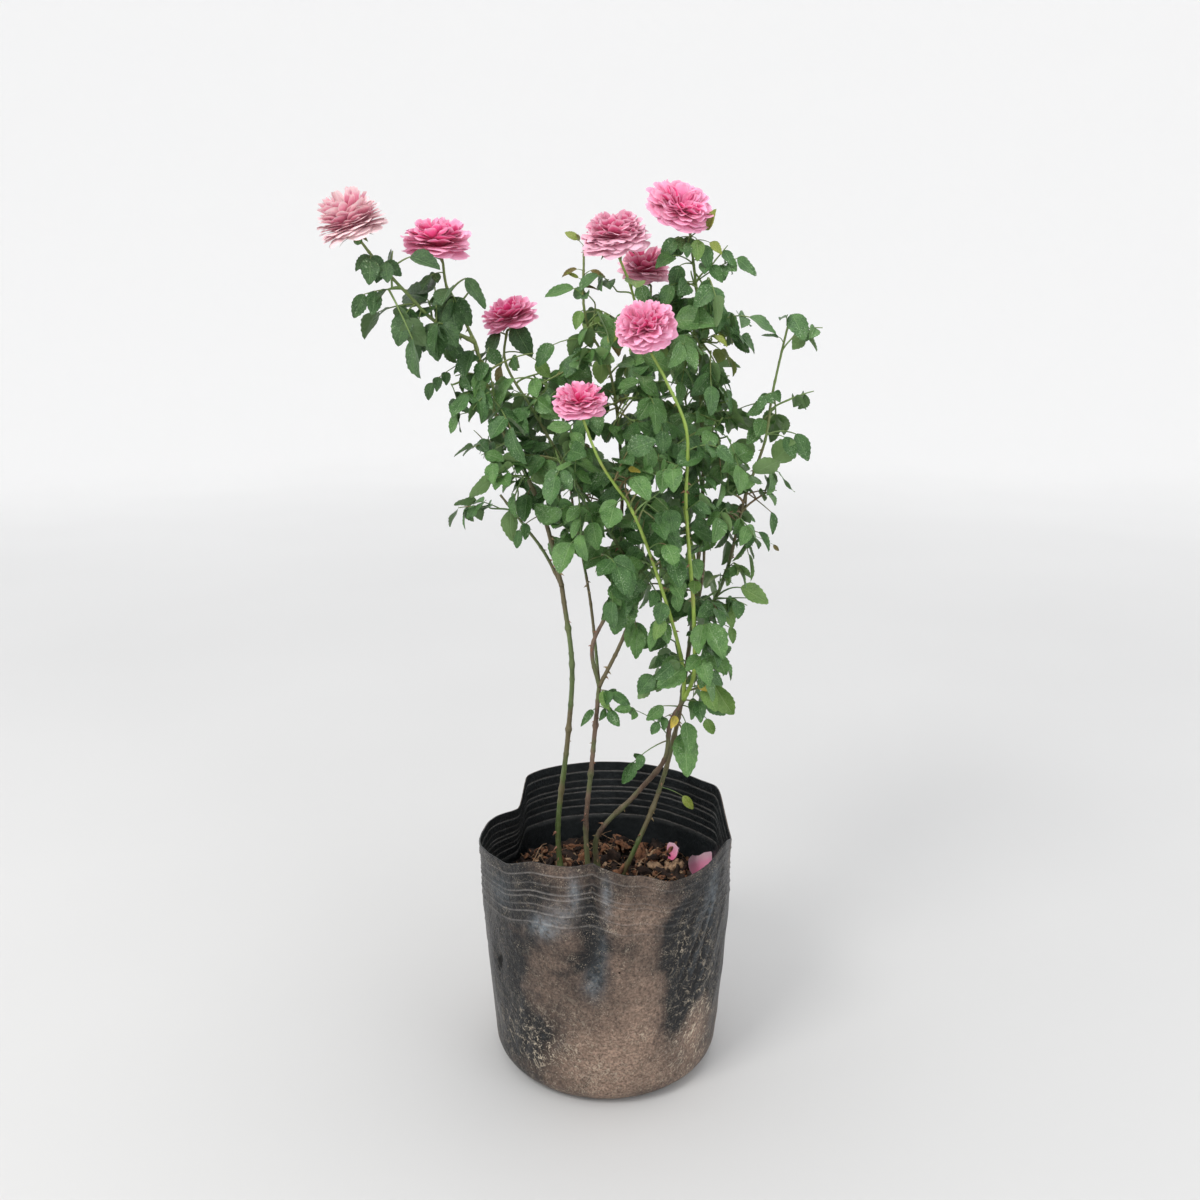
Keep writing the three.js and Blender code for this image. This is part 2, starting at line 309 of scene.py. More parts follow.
@dataclass
class Shape:
    """A small template: its points, its four-sided faces and a UV pair for each point."""

    points: Array
    faces: Array
    uv: Array

    @classmethod
    def take(cls, bm: Mesh) -> "Shape":
        """Read a template off a bmesh and free it.

        Args:
            bm: The bmesh.

        Returns:
            Its points and four-sided faces, with X and Y as their UV pairs.
        """
        points = np.array([v.co[:] for v in bm.verts])
        faces = np.array([[v.index for v in f.verts] for f in bm.faces if len(f.verts) == 4])
        bm.free()
        return cls(points, faces, points[:, :2])

    @classmethod
    def grid(cls, columns: int, rows: int) -> "Shape":
        """Make a flat grid, -1 to 1 across and 0 to 1 along.

        Args:
            columns: Faces across.
            rows: Faces along.

        Returns:
            The grid, with its UV pair from 0 to 1 both ways.
        """
        bm = bmesh.new()
        bmesh.ops.create_grid(bm, x_segments=columns, y_segments=rows, size=1.0)
        bmesh.ops.scale(bm, vec=(1.0, 0.5, 1.0), verts=bm.verts)
        bmesh.ops.translate(bm, vec=(0.0, 0.5, 0.0), verts=bm.verts)
        sheet = cls.take(bm)
        sheet.uv = np.stack([sheet.points[:, 0] * 0.5 + 0.5, sheet.points[:, 1]], -1)
        return sheet

    @classmethod
    def pipe(cls, sides: int, rings: int) -> "Shape":
        """Make a straight pipe of radius 1 that ends in a point.

        Args:
            sides: Faces round it.
            rings: Rings along it, the closed tip left out.

        Returns:
            The pipe, with its ring's number as the height of each point.
        """
        bm = bmesh.new()
        bmesh.ops.create_circle(bm, segments=sides, radius=1.0)
        edges = bm.edges[:]
        for _ in range(rings):
            verts, edges = grow(bm, edges)
            bmesh.ops.translate(bm, vec=(0, 0, 1), verts=verts)
        bmesh.ops.scale(bm, vec=(0, 0, 1), verts=verts)
        bmesh.ops.recalc_face_normals(bm, faces=bm.faces)
        pipe = cls.take(bm)
        turn = np.arctan2(pipe.points[:, 1], pipe.points[:, 0]) / (2 * math.pi) + 0.5
        pipe.uv = np.stack([turn, pipe.points[:, 2] / rings], -1)
        return pipe


class Bundle:
    """Many small shapes joined into one mesh."""

    pipes: dict[tuple[int, int], Shape] = {}

    def __init__(self, name: str) -> None:
        """Start an empty bundle with its piece's name."""
        self.name = name
        self.points: list[Array] = []
        self.faces: list[Array] = []
        self.uv: list[Array] = []
        self.tone: list[Array] = []
        self.count = 0

    def add(self, points: Array, faces: Array, uv: Array, tone: float = 0.0) -> None:
        """Join one more shape.

        Args:
            points: Its points, in place.
            faces: Its four-sided faces.
            uv: One UV pair for each point.
            tone: A number that its material may read.
        """
        self.points.append(points)
        self.faces.append(faces + self.count)
        self.uv.append(uv)
        self.tone.append(np.full(len(points), tone))
        self.count += len(points)

    def place(self, shape: Shape, base: Array, axes: Array, tone: float = 0.0) -> None:
        """Join a copy of a template.

        Args:
            shape: The template.
            base: Where its origin goes.
            axes: Its three axes as columns, with their scale.
            tone: A number that its material may read.
        """
        self.add(shape.points @ axes.T + base, shape.faces, shape.uv, tone)

    def tube(self, points: Array, radii: Array, sides: int) -> None:
        """Join a thin round stalk along a path, closed to a point at its tip.

        Args:
            points: The path.
            radii: The radius at each point.
            sides: Faces round it.
        """
        key = (sides, len(points))
        pipe = self.pipes.setdefault(key, Shape.pipe(*key))
        ahead = unit(np.gradient(points, axis=0))
        side = across(np.array([0.31, -0.9, 0.2]), ahead[0])
        frames = []
        for direction in ahead:
            side = across(side, direction)
            frames.append(np.stack([side, np.cross(direction, side)]))
        frames.append(frames[-1])
        rows = np.rint(pipe.points[:, 2]).astype(int)
        centres = np.vstack([points, points[-1:] + ahead[-1:] * radii[-1]])
        wide = np.append(radii, 0.0)[rows, None]
        ring = np.einsum("nk,nkj->nj", pipe.points[:, :2] * wide, np.array(frames)[rows])
        self.add(centres[rows] + ring, pipe.faces, pipe.uv)

    def build(self) -> Piece:
        """Make the joined mesh's object.

        Returns:
            The object.
        """
        points, faces = np.concatenate(self.points), np.concatenate(self.faces)
        mesh = bpy.data.meshes.new(self.name)
        mesh.vertices.add(len(points))
        mesh.vertices.foreach_set("co", points.ravel())
        mesh.loops.add(faces.size)
        mesh.loops.foreach_set("vertex_index", faces.ravel().astype(np.int32))
        mesh.polygons.add(len(faces))
        mesh.polygons.foreach_set("loop_start", np.arange(0, faces.size, 4, dtype=np.int32))
        uv = np.concatenate(self.uv)[faces.ravel()]
        mesh.uv_layers.new(name="UVMap").data.foreach_set("uv", uv.ravel())
        tones = np.concatenate(self.tone).astype(np.float32)
        mesh.attributes.new("tone", "FLOAT", "POINT").data.foreach_set("value", tones)
        mesh.update(calc_edges=True)
        mesh.validate()
        return link(self.name, mesh)


# ---- Node trees ----


def rgba(value: object) -> object:
    """Give a colour its alpha, and leave a socket or a number as it is."""
    return (*value, 1.0) if isinstance(value, tuple) else value


class Graph:
    """A short hand for laying out a node tree."""

    def __init__(self, tree: bpy.types.NodeTree) -> None:
        """Work on one tree."""
        self.tree = tree

    def feed(self, node: bpy.types.Node, sockets: dict) -> None:
        """Fill a node's inputs.

        Args:
            node: The node.
            sockets: Values or sockets for its inputs, by name or number.
        """
        for key, value in sockets.items():
            if isinstance(value, Socket):
                self.tree.links.new(value, node.inputs[key])
            else:
                node.inputs[key].default_value = value

    def add(self, kind: str, sockets: dict | None = None, **settings: object) -> bpy.types.Node:
        """Add a node.

        Args:
            kind: Its type without the ShaderNode prefix.
            sockets: Values or sockets for its inputs, by name or number.
            **settings: Properties of the node.

        Returns:
            The node.
        """
        node = self.tree.nodes.new(kind if kind.startswith("Node") else "ShaderNode" + kind)
        for key, value in settings.items():
            setattr(node, key, value)
        self.feed(node, sockets or {})
        return node

    def noise(self, where: Socket, scale: float | Socket, detail: float = 3.0,
              rough: float = 0.55, distort: float = 0.0) -> Socket:
        """Add cloudy noise.

        Args:
            where: The coordinates that it reads.
            scale: Its frequency.
            detail: Number of finer layers.
            rough: Strength of the finer layers.
            distort: How far it is swirled.

        Returns:
            Its grey output.
        """
        sockets = {"Vector": where, "Scale": scale, "Detail": detail, "Roughness": rough,
                   "Distortion": distort}
        return self.add("TexNoise", sockets).outputs[0]

    def band(self, value: Socket, low: float, high: float,
             start: float = 0.0, end: float = 1.0) -> Socket:
        """Map a value from one range to another, held at both ends.

        Args:
            value: The value.
            low: Where the range starts.
            high: Where it ends.
            start: Output at low.
            end: Output at high.

        Returns:
            The mapped value.
        """
        sockets = {"Value": value, "From Min": low, "From Max": high,
                   "To Min": start, "To Max": end}
        return self.add("MapRange", sockets).outputs[0]

    def maths(self, operation: str, a: object, b: object = 0.0) -> Socket:
        """Join two numbers by an operation such as MULTIPLY.

        Args:
            operation: The operation.
            a: First number or socket.
            b: Second number or socket.

        Returns:
            The result.
        """
        return self.add("Math", {0: a, 1: b}, operation=operation).outputs[0]

    def times(self, a: object, b: object) -> Socket:
        """Multiply two numbers or sockets."""
        return self.maths("MULTIPLY", a, b)

    def plus(self, a: object, b: object) -> Socket:
        """Add two numbers or sockets."""
        return self.maths("ADD", a, b)

    def minus(self, a: object, b: object) -> Socket:
        """Take the second number or socket from the first."""
        return self.maths("SUBTRACT", a, b)

    def mix(self, share: object, a: object, b: object) -> Socket:
        """Blend two colours.

        Args:
            share: How much of b, from 0 to 1.
            a: First colour or socket.
            b: Second colour or socket.

        Returns:
            The blended colour.
        """
        sockets = {0: share, 6: rgba(a), 7: rgba(b)}
        return self.add("Mix", sockets, data_type="RGBA").outputs[2]

    def stretched(self, where: Socket, scale: Point) -> Socket:
        """Scale coordinates by a different amount along each axis."""
        return self.add("Mapping", {"Vector": where, "Scale": scale}).outputs[0]

    def put(self, effect: "Effect", **sockets: object) -> Socket:
        """Place a shared effect.

        Args:
            effect: Which effect.
            **sockets: Values or sockets for its inputs.

        Returns:
            The effect's output.
        """
        given = {key: rgba(value) for key, value in sockets.items()}
        return self.add("Group", given, node_tree=effect.group()).outputs[0]


class Effect(Enum):
    """Effects that several finishes share, each built once as a node group."""

    MOTTLE = "Mottle"
    GRIT = "Grit"
    RELIEF = "Relief"

    @cache
    def group(self) -> bpy.types.NodeTree:
        """Build its node group when it is first asked for."""
        build = {Effect.MOTTLE: self._mottle, Effect.GRIT: self._grit, Effect.RELIEF: self._relief}
        return build[self]()

    def _start(self, inputs: dict[str, str], output: str, kind: str
               ) -> tuple[Graph, bpy.types.NodeOutputs, bpy.types.Node]:
        """Start its group.

        Args:
            inputs: Its inputs' names and socket types.
            output: Its output's name.
            kind: Its output's socket type.

        Returns:
            The graph, what the group is given and its output node.
        """
        tree = bpy.data.node_groups.new(self.value, "ShaderNodeTree")
        for name, socket in inputs.items():
            tree.interface.new_socket(name=name, in_out="INPUT", socket_type=socket)
        tree.interface.new_socket(name=output, in_out="OUTPUT", socket_type=kind)
        graph = Graph(tree)
        return graph, graph.add("NodeGroupInput").outputs, graph.add("NodeGroupOutput")

    def _mottle(self) -> bpy.types.NodeTree:
        """Build the mottle: two colours clouded into each other at two scales."""
        inputs = {"Vector": VECTOR, "Scale": NUMBER, "Dark": COLOUR, "Light": COLOUR}
        g, given, out = self._start(inputs, "Colour", COLOUR)
        coarse = g.noise(given["Vector"], given["Scale"], 4.0)
        fine = g.noise(given["Vector"], g.times(given["Scale"], 7.3), 5.0, 0.7)
        both = g.plus(g.times(coarse, 0.65), g.times(fine, 0.35))
        g.feed(out, {0: g.mix(g.band(both, 0.36, 0.64), given["Dark"], given["Light"])})
        return g.tree

    def _grit(self) -> bpy.types.NodeTree:
        """Build the grit: a mask of small separate specks in uneven clouds."""
        inputs = {"Vector": VECTOR, "Scale": NUMBER, "Cover": NUMBER}
        g, given, out = self._start(inputs, "Mask", NUMBER)
        specks = g.noise(given["Vector"], given["Scale"], 2.0, 0.6)
        clouds = g.noise(given["Vector"], g.times(given["Scale"], 0.09))
        level = g.plus(specks, g.times(clouds, 0.55))
        edge = g.minus(1.12, g.times(given["Cover"], 0.5))
        g.feed(out, {0: g.band(g.minus(level, edge), 0.0, 0.09)})
        return g.tree

    def _relief(self) -> bpy.types.NodeTree:
        """Build the relief: a bumped normal from noise at a scale and a height."""
        inputs = {"Vector": VECTOR, "Scale": NUMBER, "Height": NUMBER, "Normal": VECTOR}
        g, given, out = self._start(inputs, "Normal", VECTOR)
        grain = g.noise(given["Vector"], given["Scale"], 6.0, 0.62)
        bump = g.add("Bump", {"Height": grain, "Normal": given["Normal"], "Strength": 1.0,
                              "Distance": given["Height"]})
        g.feed(out, {0: bump.outputs[0]})
        return g.tree


# ---- Finishes ----


@dataclass(frozen=True)
class Finish:
    """A finish of one kind of stuff; each kind lays out its own node tree."""

    name: str

    def paint(self, g: Graph) -> Sockets:
        """Lay out the finish.

        Args:
            g: Its material's graph.

        Returns:
            What its main shader's inputs take.
        """
        raise NotImplementedError

    @cache
    def build(self) -> bpy.types.Material:
        """Build the material when it is first asked for."""
        material = bpy.data.materials.new(self.name)
        material.use_nodes = True
        graph = Graph(material.node_tree)
        graph.feed(material.node_tree.nodes["Principled BSDF"], self.paint(graph))
        return material


@dataclass(frozen=True)
class LeafFinish(Finish):
    """A leaflet's finish: two tones of its face, its paler back, veins and a dusty bloom."""

    dark: Colour
    light: Colour
    back: Colour
    vein: Colour
    dust: float = 0.42
    roughness: float = 0.46

    def paint(self, g: Graph) -> Sockets:
        """Lay out the finish.

        Args:
            g: Its material's graph.

        Returns:
            What its main shader's inputs take.
        """
        coords = g.add("TexCoord").outputs
        where, uv = coords["Object"], coords["UV"]
        tone = g.add("Attribute", attribute_name="tone").outputs["Fac"]
        face = g.put(Effect.MOTTLE, Vector=where, Scale=90.0, Dark=self.dark, Light=self.light)
        face = g.mix(g.band(tone, 0.0, 1.0, 0.0, 0.5), face, self.dark)
        split = g.add("SeparateXYZ", {0: uv}).outputs
        off = g.maths("ABSOLUTE", g.minus(split[0], 0.5))
        rise = g.minus(g.times(split[1], 7.0), g.times(off, 5.0))
        side = g.maths("ABSOLUTE", g.minus(g.maths("FRACT", rise), 0.5))
        veins = g.maths("MAXIMUM", g.band(side, 0.07, 0.0, 0.0, 0.5), g.band(off, 0.03, 0.008))
        face = g.mix(g.times(veins, 0.7), face, self.vein)
        cells = g.add("TexVoronoi", {"Vector": where, "Scale": 380.0}, feature="DISTANCE_TO_EDGE")
        net = g.band(cells.outputs[0], 0.09, 0.0, 0.0, 0.55)
        face = g.mix(net, face, self.vein)
        dust = g.put(Effect.GRIT, Vector=where, Scale=520.0, Cover=self.dust)
        face = g.mix(g.times(dust, 0.55), face, (0.43, 0.57, 0.35))
        under = g.mix(g.times(veins, 0.6), self.back, self.vein)
        colour = g.mix(g.add("NewGeometry").outputs["Backfacing"], face, under)
        rough = g.band(g.noise(where, 160.0), 0.3, 0.7, self.roughness - 0.1, self.roughness + 0.14)
        ribs = g.add("Bump", {"Height": veins, "Strength": 0.5, "Distance": -0.0009})
        quilt = g.put(Effect.RELIEF, Vector=where, Scale=170.0, Height=0.0013,
                      Normal=ribs.outputs[0])
        return {"Base Color": colour, "Roughness": rough, "Normal": quilt,
                "Specular IOR Level": 0.42, "Subsurface Weight": 0.06,
                "Subsurface Radius": (0.002, 0.004, 0.001)}


@dataclass(frozen=True)
class BarkFinish(Finish):
    """A cane's finish: streaks along it, blushes of a second colour and fine dull grain."""

    dark: Colour
    light: Colour
    blush: Colour
    blush_share: float
    roughness: float
    relief: float = 0.0006
    young: Colour = (0.17, 0.25, 0.06)
    young_from: float = 0.74

    def paint(self, g: Graph) -> Sockets:
        """Lay out the finish.

        Args:
            g: Its material's graph.

        Returns:
            What its main shader's inputs take.
        """
        where = g.add("TexCoord").outputs["Object"]
        streaks = g.stretched(where, (1.0, 1.0, 0.22))
        colour = g.put(Effect.MOTTLE, Vector=streaks, Scale=140.0, Dark=self.dark, Light=self.light)
        spread = g.noise(where, 16.0, 2.0)
        blush = g.band(spread, 0.62 - 0.3 * self.blush_share, 0.72 - 0.3 * self.blush_share)
        colour = g.mix(g.times(blush, 0.8), colour, self.blush)
        height = g.add("SeparateXYZ", {0: where}).outputs[2]
        youth = g.band(height, self.young_from, self.young_from + 0.16, 0.0, 0.7)
        colour = g.mix(youth, colour, self.young)
        specks = g.put(Effect.GRIT, Vector=where, Scale=900.0, Cover=0.35)
        colour = g.mix(g.times(specks, 0.4), colour, (0.42, 0.38, 0.30))
        rough = g.band(spread, 0.3, 0.7, self.roughness - 0.08, self.roughness + 0.1)
        bump = g.put(Effect.RELIEF, Vector=streaks, Scale=420.0, Height=self.relief)
        return {"Base Color": colour, "Roughness": rough, "Normal": bump}


@dataclass(frozen=True)
class PetalFinish(Finish):
    """A bloom's petals: deep at the heart, pale at the lips, with fine lengthwise veins, and a
    faint painted glow of their own colour that lightens their shade.
    """

    heart: Colour
    body: Colour
    lip: Colour
    back: Colour
    painted_glow: float = 0.02

    def paint(self, g: Graph) -> Sockets:
        """Lay out the finish.

        Args:
            g: Its material's graph.

        Returns:
            What its main shader's inputs take.
        """
        coords = g.add("TexCoord").outputs
        where, uv = coords["Object"], coords["UV"]
        split = g.add("SeparateXYZ", {0: uv}).outputs
        tone = g.add("Attribute", attribute_name="tone").outputs["Fac"]
        up = g.plus(split[1], g.times(g.noise(where, 90.0, 2.0), 0.22))
        up = g.minus(up, g.times(tone, 0.26))
        colour = g.mix(g.band(up, 0.48, 0.90), self.heart, self.body)
        colour = g.mix(g.band(up, 0.88, 1.14), colour, self.lip)
        fibres = g.noise(g.stretched(uv, (26.0, 1.2, 1.0)), 1.0, 3.0)
        colour = g.mix(g.band(fibres, 0.52, 0.74, 0.0, 0.3), colour, self.heart)
        back = g.mix(g.band(up, 0.45, 1.05), self.back, self.lip)
        colour = g.mix(g.add("NewGeometry").outputs["Backfacing"], colour, back)
        off = g.maths("ABSOLUTE", g.minus(split[0], 0.5))
        rim = g.maths("MAXIMUM", g.band(split[1], 0.91, 0.99), g.band(off, 0.44, 0.50, 0.0, 0.7))
        colour = g.mix(g.times(rim, 0.75), colour, self.lip)
        rough = g.band(g.noise(where, 240.0), 0.3, 0.7, 0.46, 0.62)
        ribs = g.add("Bump", {"Height": fibres, "Strength": 0.35, "Distance": 0.0006})
        crepe = g.put(Effect.RELIEF, Vector=where, Scale=210.0, Height=0.0008,
                      Normal=ribs.outputs[0])
        # Emission of the petal colour is a painted glow that lightens the petals' shaded parts.
        return {"Base Color": colour, "Roughness": rough, "Normal": crepe,
                "Emission Color": colour, "Emission Strength": self.painted_glow, "Sheen Weight": 0.15,
                "Sheen Roughness": 0.5, "Subsurface Weight": 0.12,
                "Subsurface Radius": (0.003, 0.001, 0.0015), "Specular IOR Level": 0.3}


@dataclass(frozen=True)
class CrumbFinish(Finish):
    """A loose dull stuff such as soil, bark chips or fibre."""

    dark: Colour
    light: Colour
    roughness: float = 0.95
    scale: float = 160.0
    relief: float = 0.0016

    def paint(self, g: Graph) -> Sockets:
        """Lay out the finish.

        Args:
            g: Its material's graph.

        Returns:
            What its main shader's inputs take.
        """
        where = g.add("TexCoord").outputs["Object"]
        colour = g.put(Effect.MOTTLE, Vector=where, Scale=self.scale,
                       Dark=self.dark, Light=self.light)
        rough = g.band(g.noise(where, 300.0), 0.3, 0.7, self.roughness - 0.12, self.roughness)
        bump = g.put(Effect.RELIEF, Vector=where, Scale=4.0 * self.scale, Height=self.relief)
        return {"Base Color": colour, "Roughness": rough, "Normal": bump}


@dataclass(frozen=True)
class FilmFinish(Finish):
    """The bag's soft film: dark plastic under dried dust, with fibrous scuffs, painted sheen and a
    few tears painted black as their shade.
    """

    name: str = "bag_film"
    film: Colour = (0.011, 0.011, 0.012)
    inside: Colour = (0.008, 0.010, 0.011)
    inside_light: Colour = (0.020, 0.024, 0.026)
    painted_tear_shade: Colour = (0.004, 0.004, 0.004)
    dust: Colour = (0.290, 0.202, 0.153)
    chalk: Colour = (0.56, 0.48, 0.37)
    ridge: Colour = (0.36, 0.34, 0.32)
    painted_sheen_colour: Colour = (0.25, 0.30, 0.34)
    tears: tuple[Point, ...] = (
        (-0.131, -0.082, 0.168), (-0.129, -0.085, 0.177), (-0.132, -0.080, 0.160),
    )

    def paint(self, g: Graph) -> Sockets:
        """Lay out the finish.

        Args:
            g: Its material's graph.

        Returns:
            What its main shader's inputs take.
        """
        where = g.add("TexCoord").outputs["Object"]
        inner, ridge, dusty, painted_sheen, chalky = (
            g.add("Attribute", attribute_name=name).outputs["Fac"]
            for name in ("inner", "ridge", "dusty", "painted_sheen", "chalky"))
        clouds = g.noise(where, 15.0, 4.0, 0.55, 0.8)
        grain = g.noise(where, 130.0, 4.0, 0.75)
        cover = g.plus(dusty, g.times(g.minus(clouds, 0.5), 1.3))
        cover = g.plus(cover, g.times(g.minus(grain, 0.5), 0.5))
        cover = g.band(cover, 0.08, 1.05)
        powder = g.noise(where, 310.0, 2.0, 0.7)
        dark, light = (tuple(part * c for c in self.dust) for part in (0.45, 1.45))
        tan = g.mix(g.band(powder, 0.34, 0.66), dark, light)
        stains = g.band(g.noise(where, 40.0, 3.0, 0.6), 0.42, 0.66, 0.0, 0.42)
        tan = g.mix(stains, tan, dark)
        colour = g.mix(cover, self.film, tan)
        # Painted sheen: a bluish highlight colour laid on the film where it would reflect the
        # light, in patches and along the fold crests.
        painted_sheen_mask = g.times(painted_sheen, g.band(grain, 0.36, 0.60, 0.2, 1.0))
        colour = g.mix(g.times(painted_sheen_mask, 0.85), colour, self.painted_sheen_colour)
        scuffs = self._scuffs(g, where)
        pale = g.times(scuffs, g.plus(0.12, chalky))
        colour = g.mix(pale, colour, self.chalk)
        grit = g.put(Effect.GRIT, Vector=where, Scale=640.0, Cover=0.40)
        colour = g.mix(g.times(grit, 0.5), colour, self.chalk)
        clean = g.put(Effect.MOTTLE, Vector=where, Scale=22.0,
                      Dark=self.inside, Light=self.inside_light)
        colour = g.mix(inner, colour, clean)
        worn = g.times(ridge, g.band(grain, 0.30, 0.56, 0.25, 1.0))
        colour = g.mix(worn, colour, self.ridge)
        # The tears are painted near black: a painted shade for the hollow behind them.
        torn = self._torn(g, where, grain)
        colour = g.mix(torn, colour, self.painted_tear_shade)
        rough = g.plus(0.34, g.times(cover, 0.26))
        rough = g.plus(rough, g.times(torn, 0.4))
        height = g.minus(g.times(scuffs, 0.35), torn)
        crease = g.add("Bump", {"Height": height, "Strength": 0.6, "Distance": 0.0010})
        waves = g.put(Effect.RELIEF, Vector=where, Scale=42.0, Height=0.0035,
                      Normal=crease.outputs[0])
        bump = g.put(Effect.RELIEF, Vector=where, Scale=190.0, Height=0.0012, Normal=waves)
        return {"Base Color": colour, "Roughness": rough, "Normal": bump,
                "Specular IOR Level": 0.22}

    @staticmethod
    def _scuffs(g: Graph, where: Socket) -> Socket:
        """Lay out thin scratches and fibres that lean three ways.

        Args:
            g: The material's graph.
            where: Object coordinates.

        Returns:
            Their mask.
        """
        layers = []
        for scale, width, lean in ((70.0, 0.014, 0.7), (85.0, 0.015, -0.5), (130.0, 0.026, 1.3)):
            spot = g.add("Mapping", {"Vector": where, "Rotation": (0.0, lean, lean),
                                     "Scale": (1.0, 1.0, 2.6)}, vector_type="TEXTURE").outputs[0]
            curl = g.noise(spot, scale, 2.0, 0.6, 0.5)
            line = g.band(g.maths("ABSOLUTE", g.minus(curl, 0.5)), width, width * 0.3)
            gaps = g.band(g.noise(where, scale * 1.1, 3.0), 0.50, 0.58)
            layers.append(g.times(line, gaps))
        return g.maths("MAXIMUM", g.maths("MAXIMUM", layers[0], layers[1]), layers[2])

    def _torn(self, g: Graph, where: Socket, grain: Socket
              ) -> Socket:
        """Mark the small tears in the film.

        Args:
            g: The material's graph.
            where: Object coordinates.
            grain: Noise that frays their edges.

        Returns:
            Their mask.
        """
        mask = 0.0
        for tear in self.tears:
            away = g.add("VectorMath", {0: where, 1: tear}, operation="SUBTRACT").outputs[0]
            away = g.stretched(away, (1.0, 1.0, 0.42))
            length = g.add("VectorMath", {0: away}, operation="LENGTH").outputs["Value"]
            frayed = g.plus(length, g.times(grain, 0.016))
            mask = g.maths("MAXIMUM", mask, g.band(frayed, 0.0140, 0.0125))
        return mask


@dataclass(frozen=True)
class FloorFinish(Finish):
    """The plain pale floor, painted a little lighter far out, with a painted glow that grows there.
    """

    name: str = "pale_floor"
    near: Colour = (0.618, 0.617, 0.616)
    far: Colour = (0.866, 0.865, 0.864)
    painted_far_glow: float = 0.14

    def paint(self, g: Graph) -> Sockets:
        """Lay out the finish.

        Args:
            g: Its material's graph.

        Returns:
            What its main shader's inputs take.
        """
        where = g.add("TexCoord").outputs["Object"]
        away = g.add("VectorMath", {0: where}, operation="LENGTH").outputs["Value"]
        reach = g.plus(away, g.noise(where, 0.8, 2.0))
        out = g.band(reach, 0.8, 6.0)
        # Paler colour and emission far out: painted light that brightens the backdrop.
        return {"Base Color": g.mix(out, self.near, self.far),
                "Emission Color": g.mix(out, (0.0, 0.0, 0.0), (self.painted_far_glow,) * 3),
                "Emission Strength": 1.0, "Roughness": 0.9}


class Tint(Enum):
    """The tints that leaves are dealt, spray by spray."""

    # The darkest tint is the deep green painted darker: a painted shade for leaves that stand out
    # in the open.
    DARK = "leaf_dark"
    DEEP = "leaf_deep"
    MID = "leaf_mid"
    FRESH = "leaf_fresh"
    YOUNG = "leaf_young"
    BRONZE = "leaf_bronze"
    YELLOW = "leaf_yellow"


LEAF_FINISHES = {
    Tint.DARK: LeafFinish("leaf_dark", (0.015, 0.052, 0.012), (0.054, 0.130, 0.034),
                          (0.095, 0.165, 0.060), (0.120, 0.220, 0.080), 0.34),
    Tint.DEEP: LeafFinish("leaf_deep", (0.024, 0.080, 0.018), (0.086, 0.206, 0.050),
                          (0.125, 0.215, 0.080), (0.15, 0.28, 0.10)),
    Tint.MID: LeafFinish("leaf_mid", (0.046, 0.132, 0.028), (0.135, 0.286, 0.070),
                         (0.17, 0.28, 0.10), (0.22, 0.36, 0.14)),
    Tint.FRESH: LeafFinish("leaf_fresh", (0.085, 0.190, 0.036), (0.190, 0.330, 0.072),
                           (0.22, 0.33, 0.10), (0.30, 0.42, 0.15), 0.15, 0.42),
    Tint.YOUNG: LeafFinish("leaf_young", (0.17, 0.23, 0.030), (0.32, 0.38, 0.065),
                           (0.32, 0.37, 0.10), (0.38, 0.42, 0.14), 0.05, 0.38),
    Tint.BRONZE: LeafFinish("leaf_bronze", (0.12, 0.095, 0.024), (0.24, 0.20, 0.055),
                            (0.24, 0.22, 0.08), (0.30, 0.25, 0.10), 0.1, 0.4),
    Tint.YELLOW: LeafFinish("leaf_yellow", (0.26, 0.24, 0.03), (0.62, 0.46, 0.06),
                            (0.52, 0.42, 0.10), (0.58, 0.44, 0.12), 0.1, 0.5),
}


# ---- The bag ----


@dataclass(frozen=True)
class Fold:
    """A place where the wall comes in: angle in degrees, half width, and depth at the rim."""

    angle: float
    spread: float
    inward: float

    def at(self, angle: float) -> float:
        """Give how far this fold pulls the rim in at an angle in degrees."""
        away = abs((angle - self.angle + 180.0) % 360.0 - 180.0)
        return self.inward * math.exp(-((away / self.spread) ** 2))


@dataclass(frozen=True)
class Patch:
    """A soft spot on the wall, placed by its angle and its share of the wall's height.

    As a dent its amount is the depth, as a stain or a patch of painted sheen it is the strength.
    """

    angle: float
    share: float
    wide: float
    tall: float
    amount: float

    def at(self, angle: float, share: float) -> float:
        """Give its amount at an angle in degrees and a share."""
        away = ((angle - self.angle + 180.0) % 360.0 - 180.0) / self.wide
        rise = (share - self.share) / self.tall
        return self.amount * math.exp(-(away * away + rise * rise))


def total(patches: Sequence[Patch], angle: float, share: float) -> float:
    """Add up patches at an angle in degrees and a share."""
    return sum(patch.at(angle, share) for patch in patches)


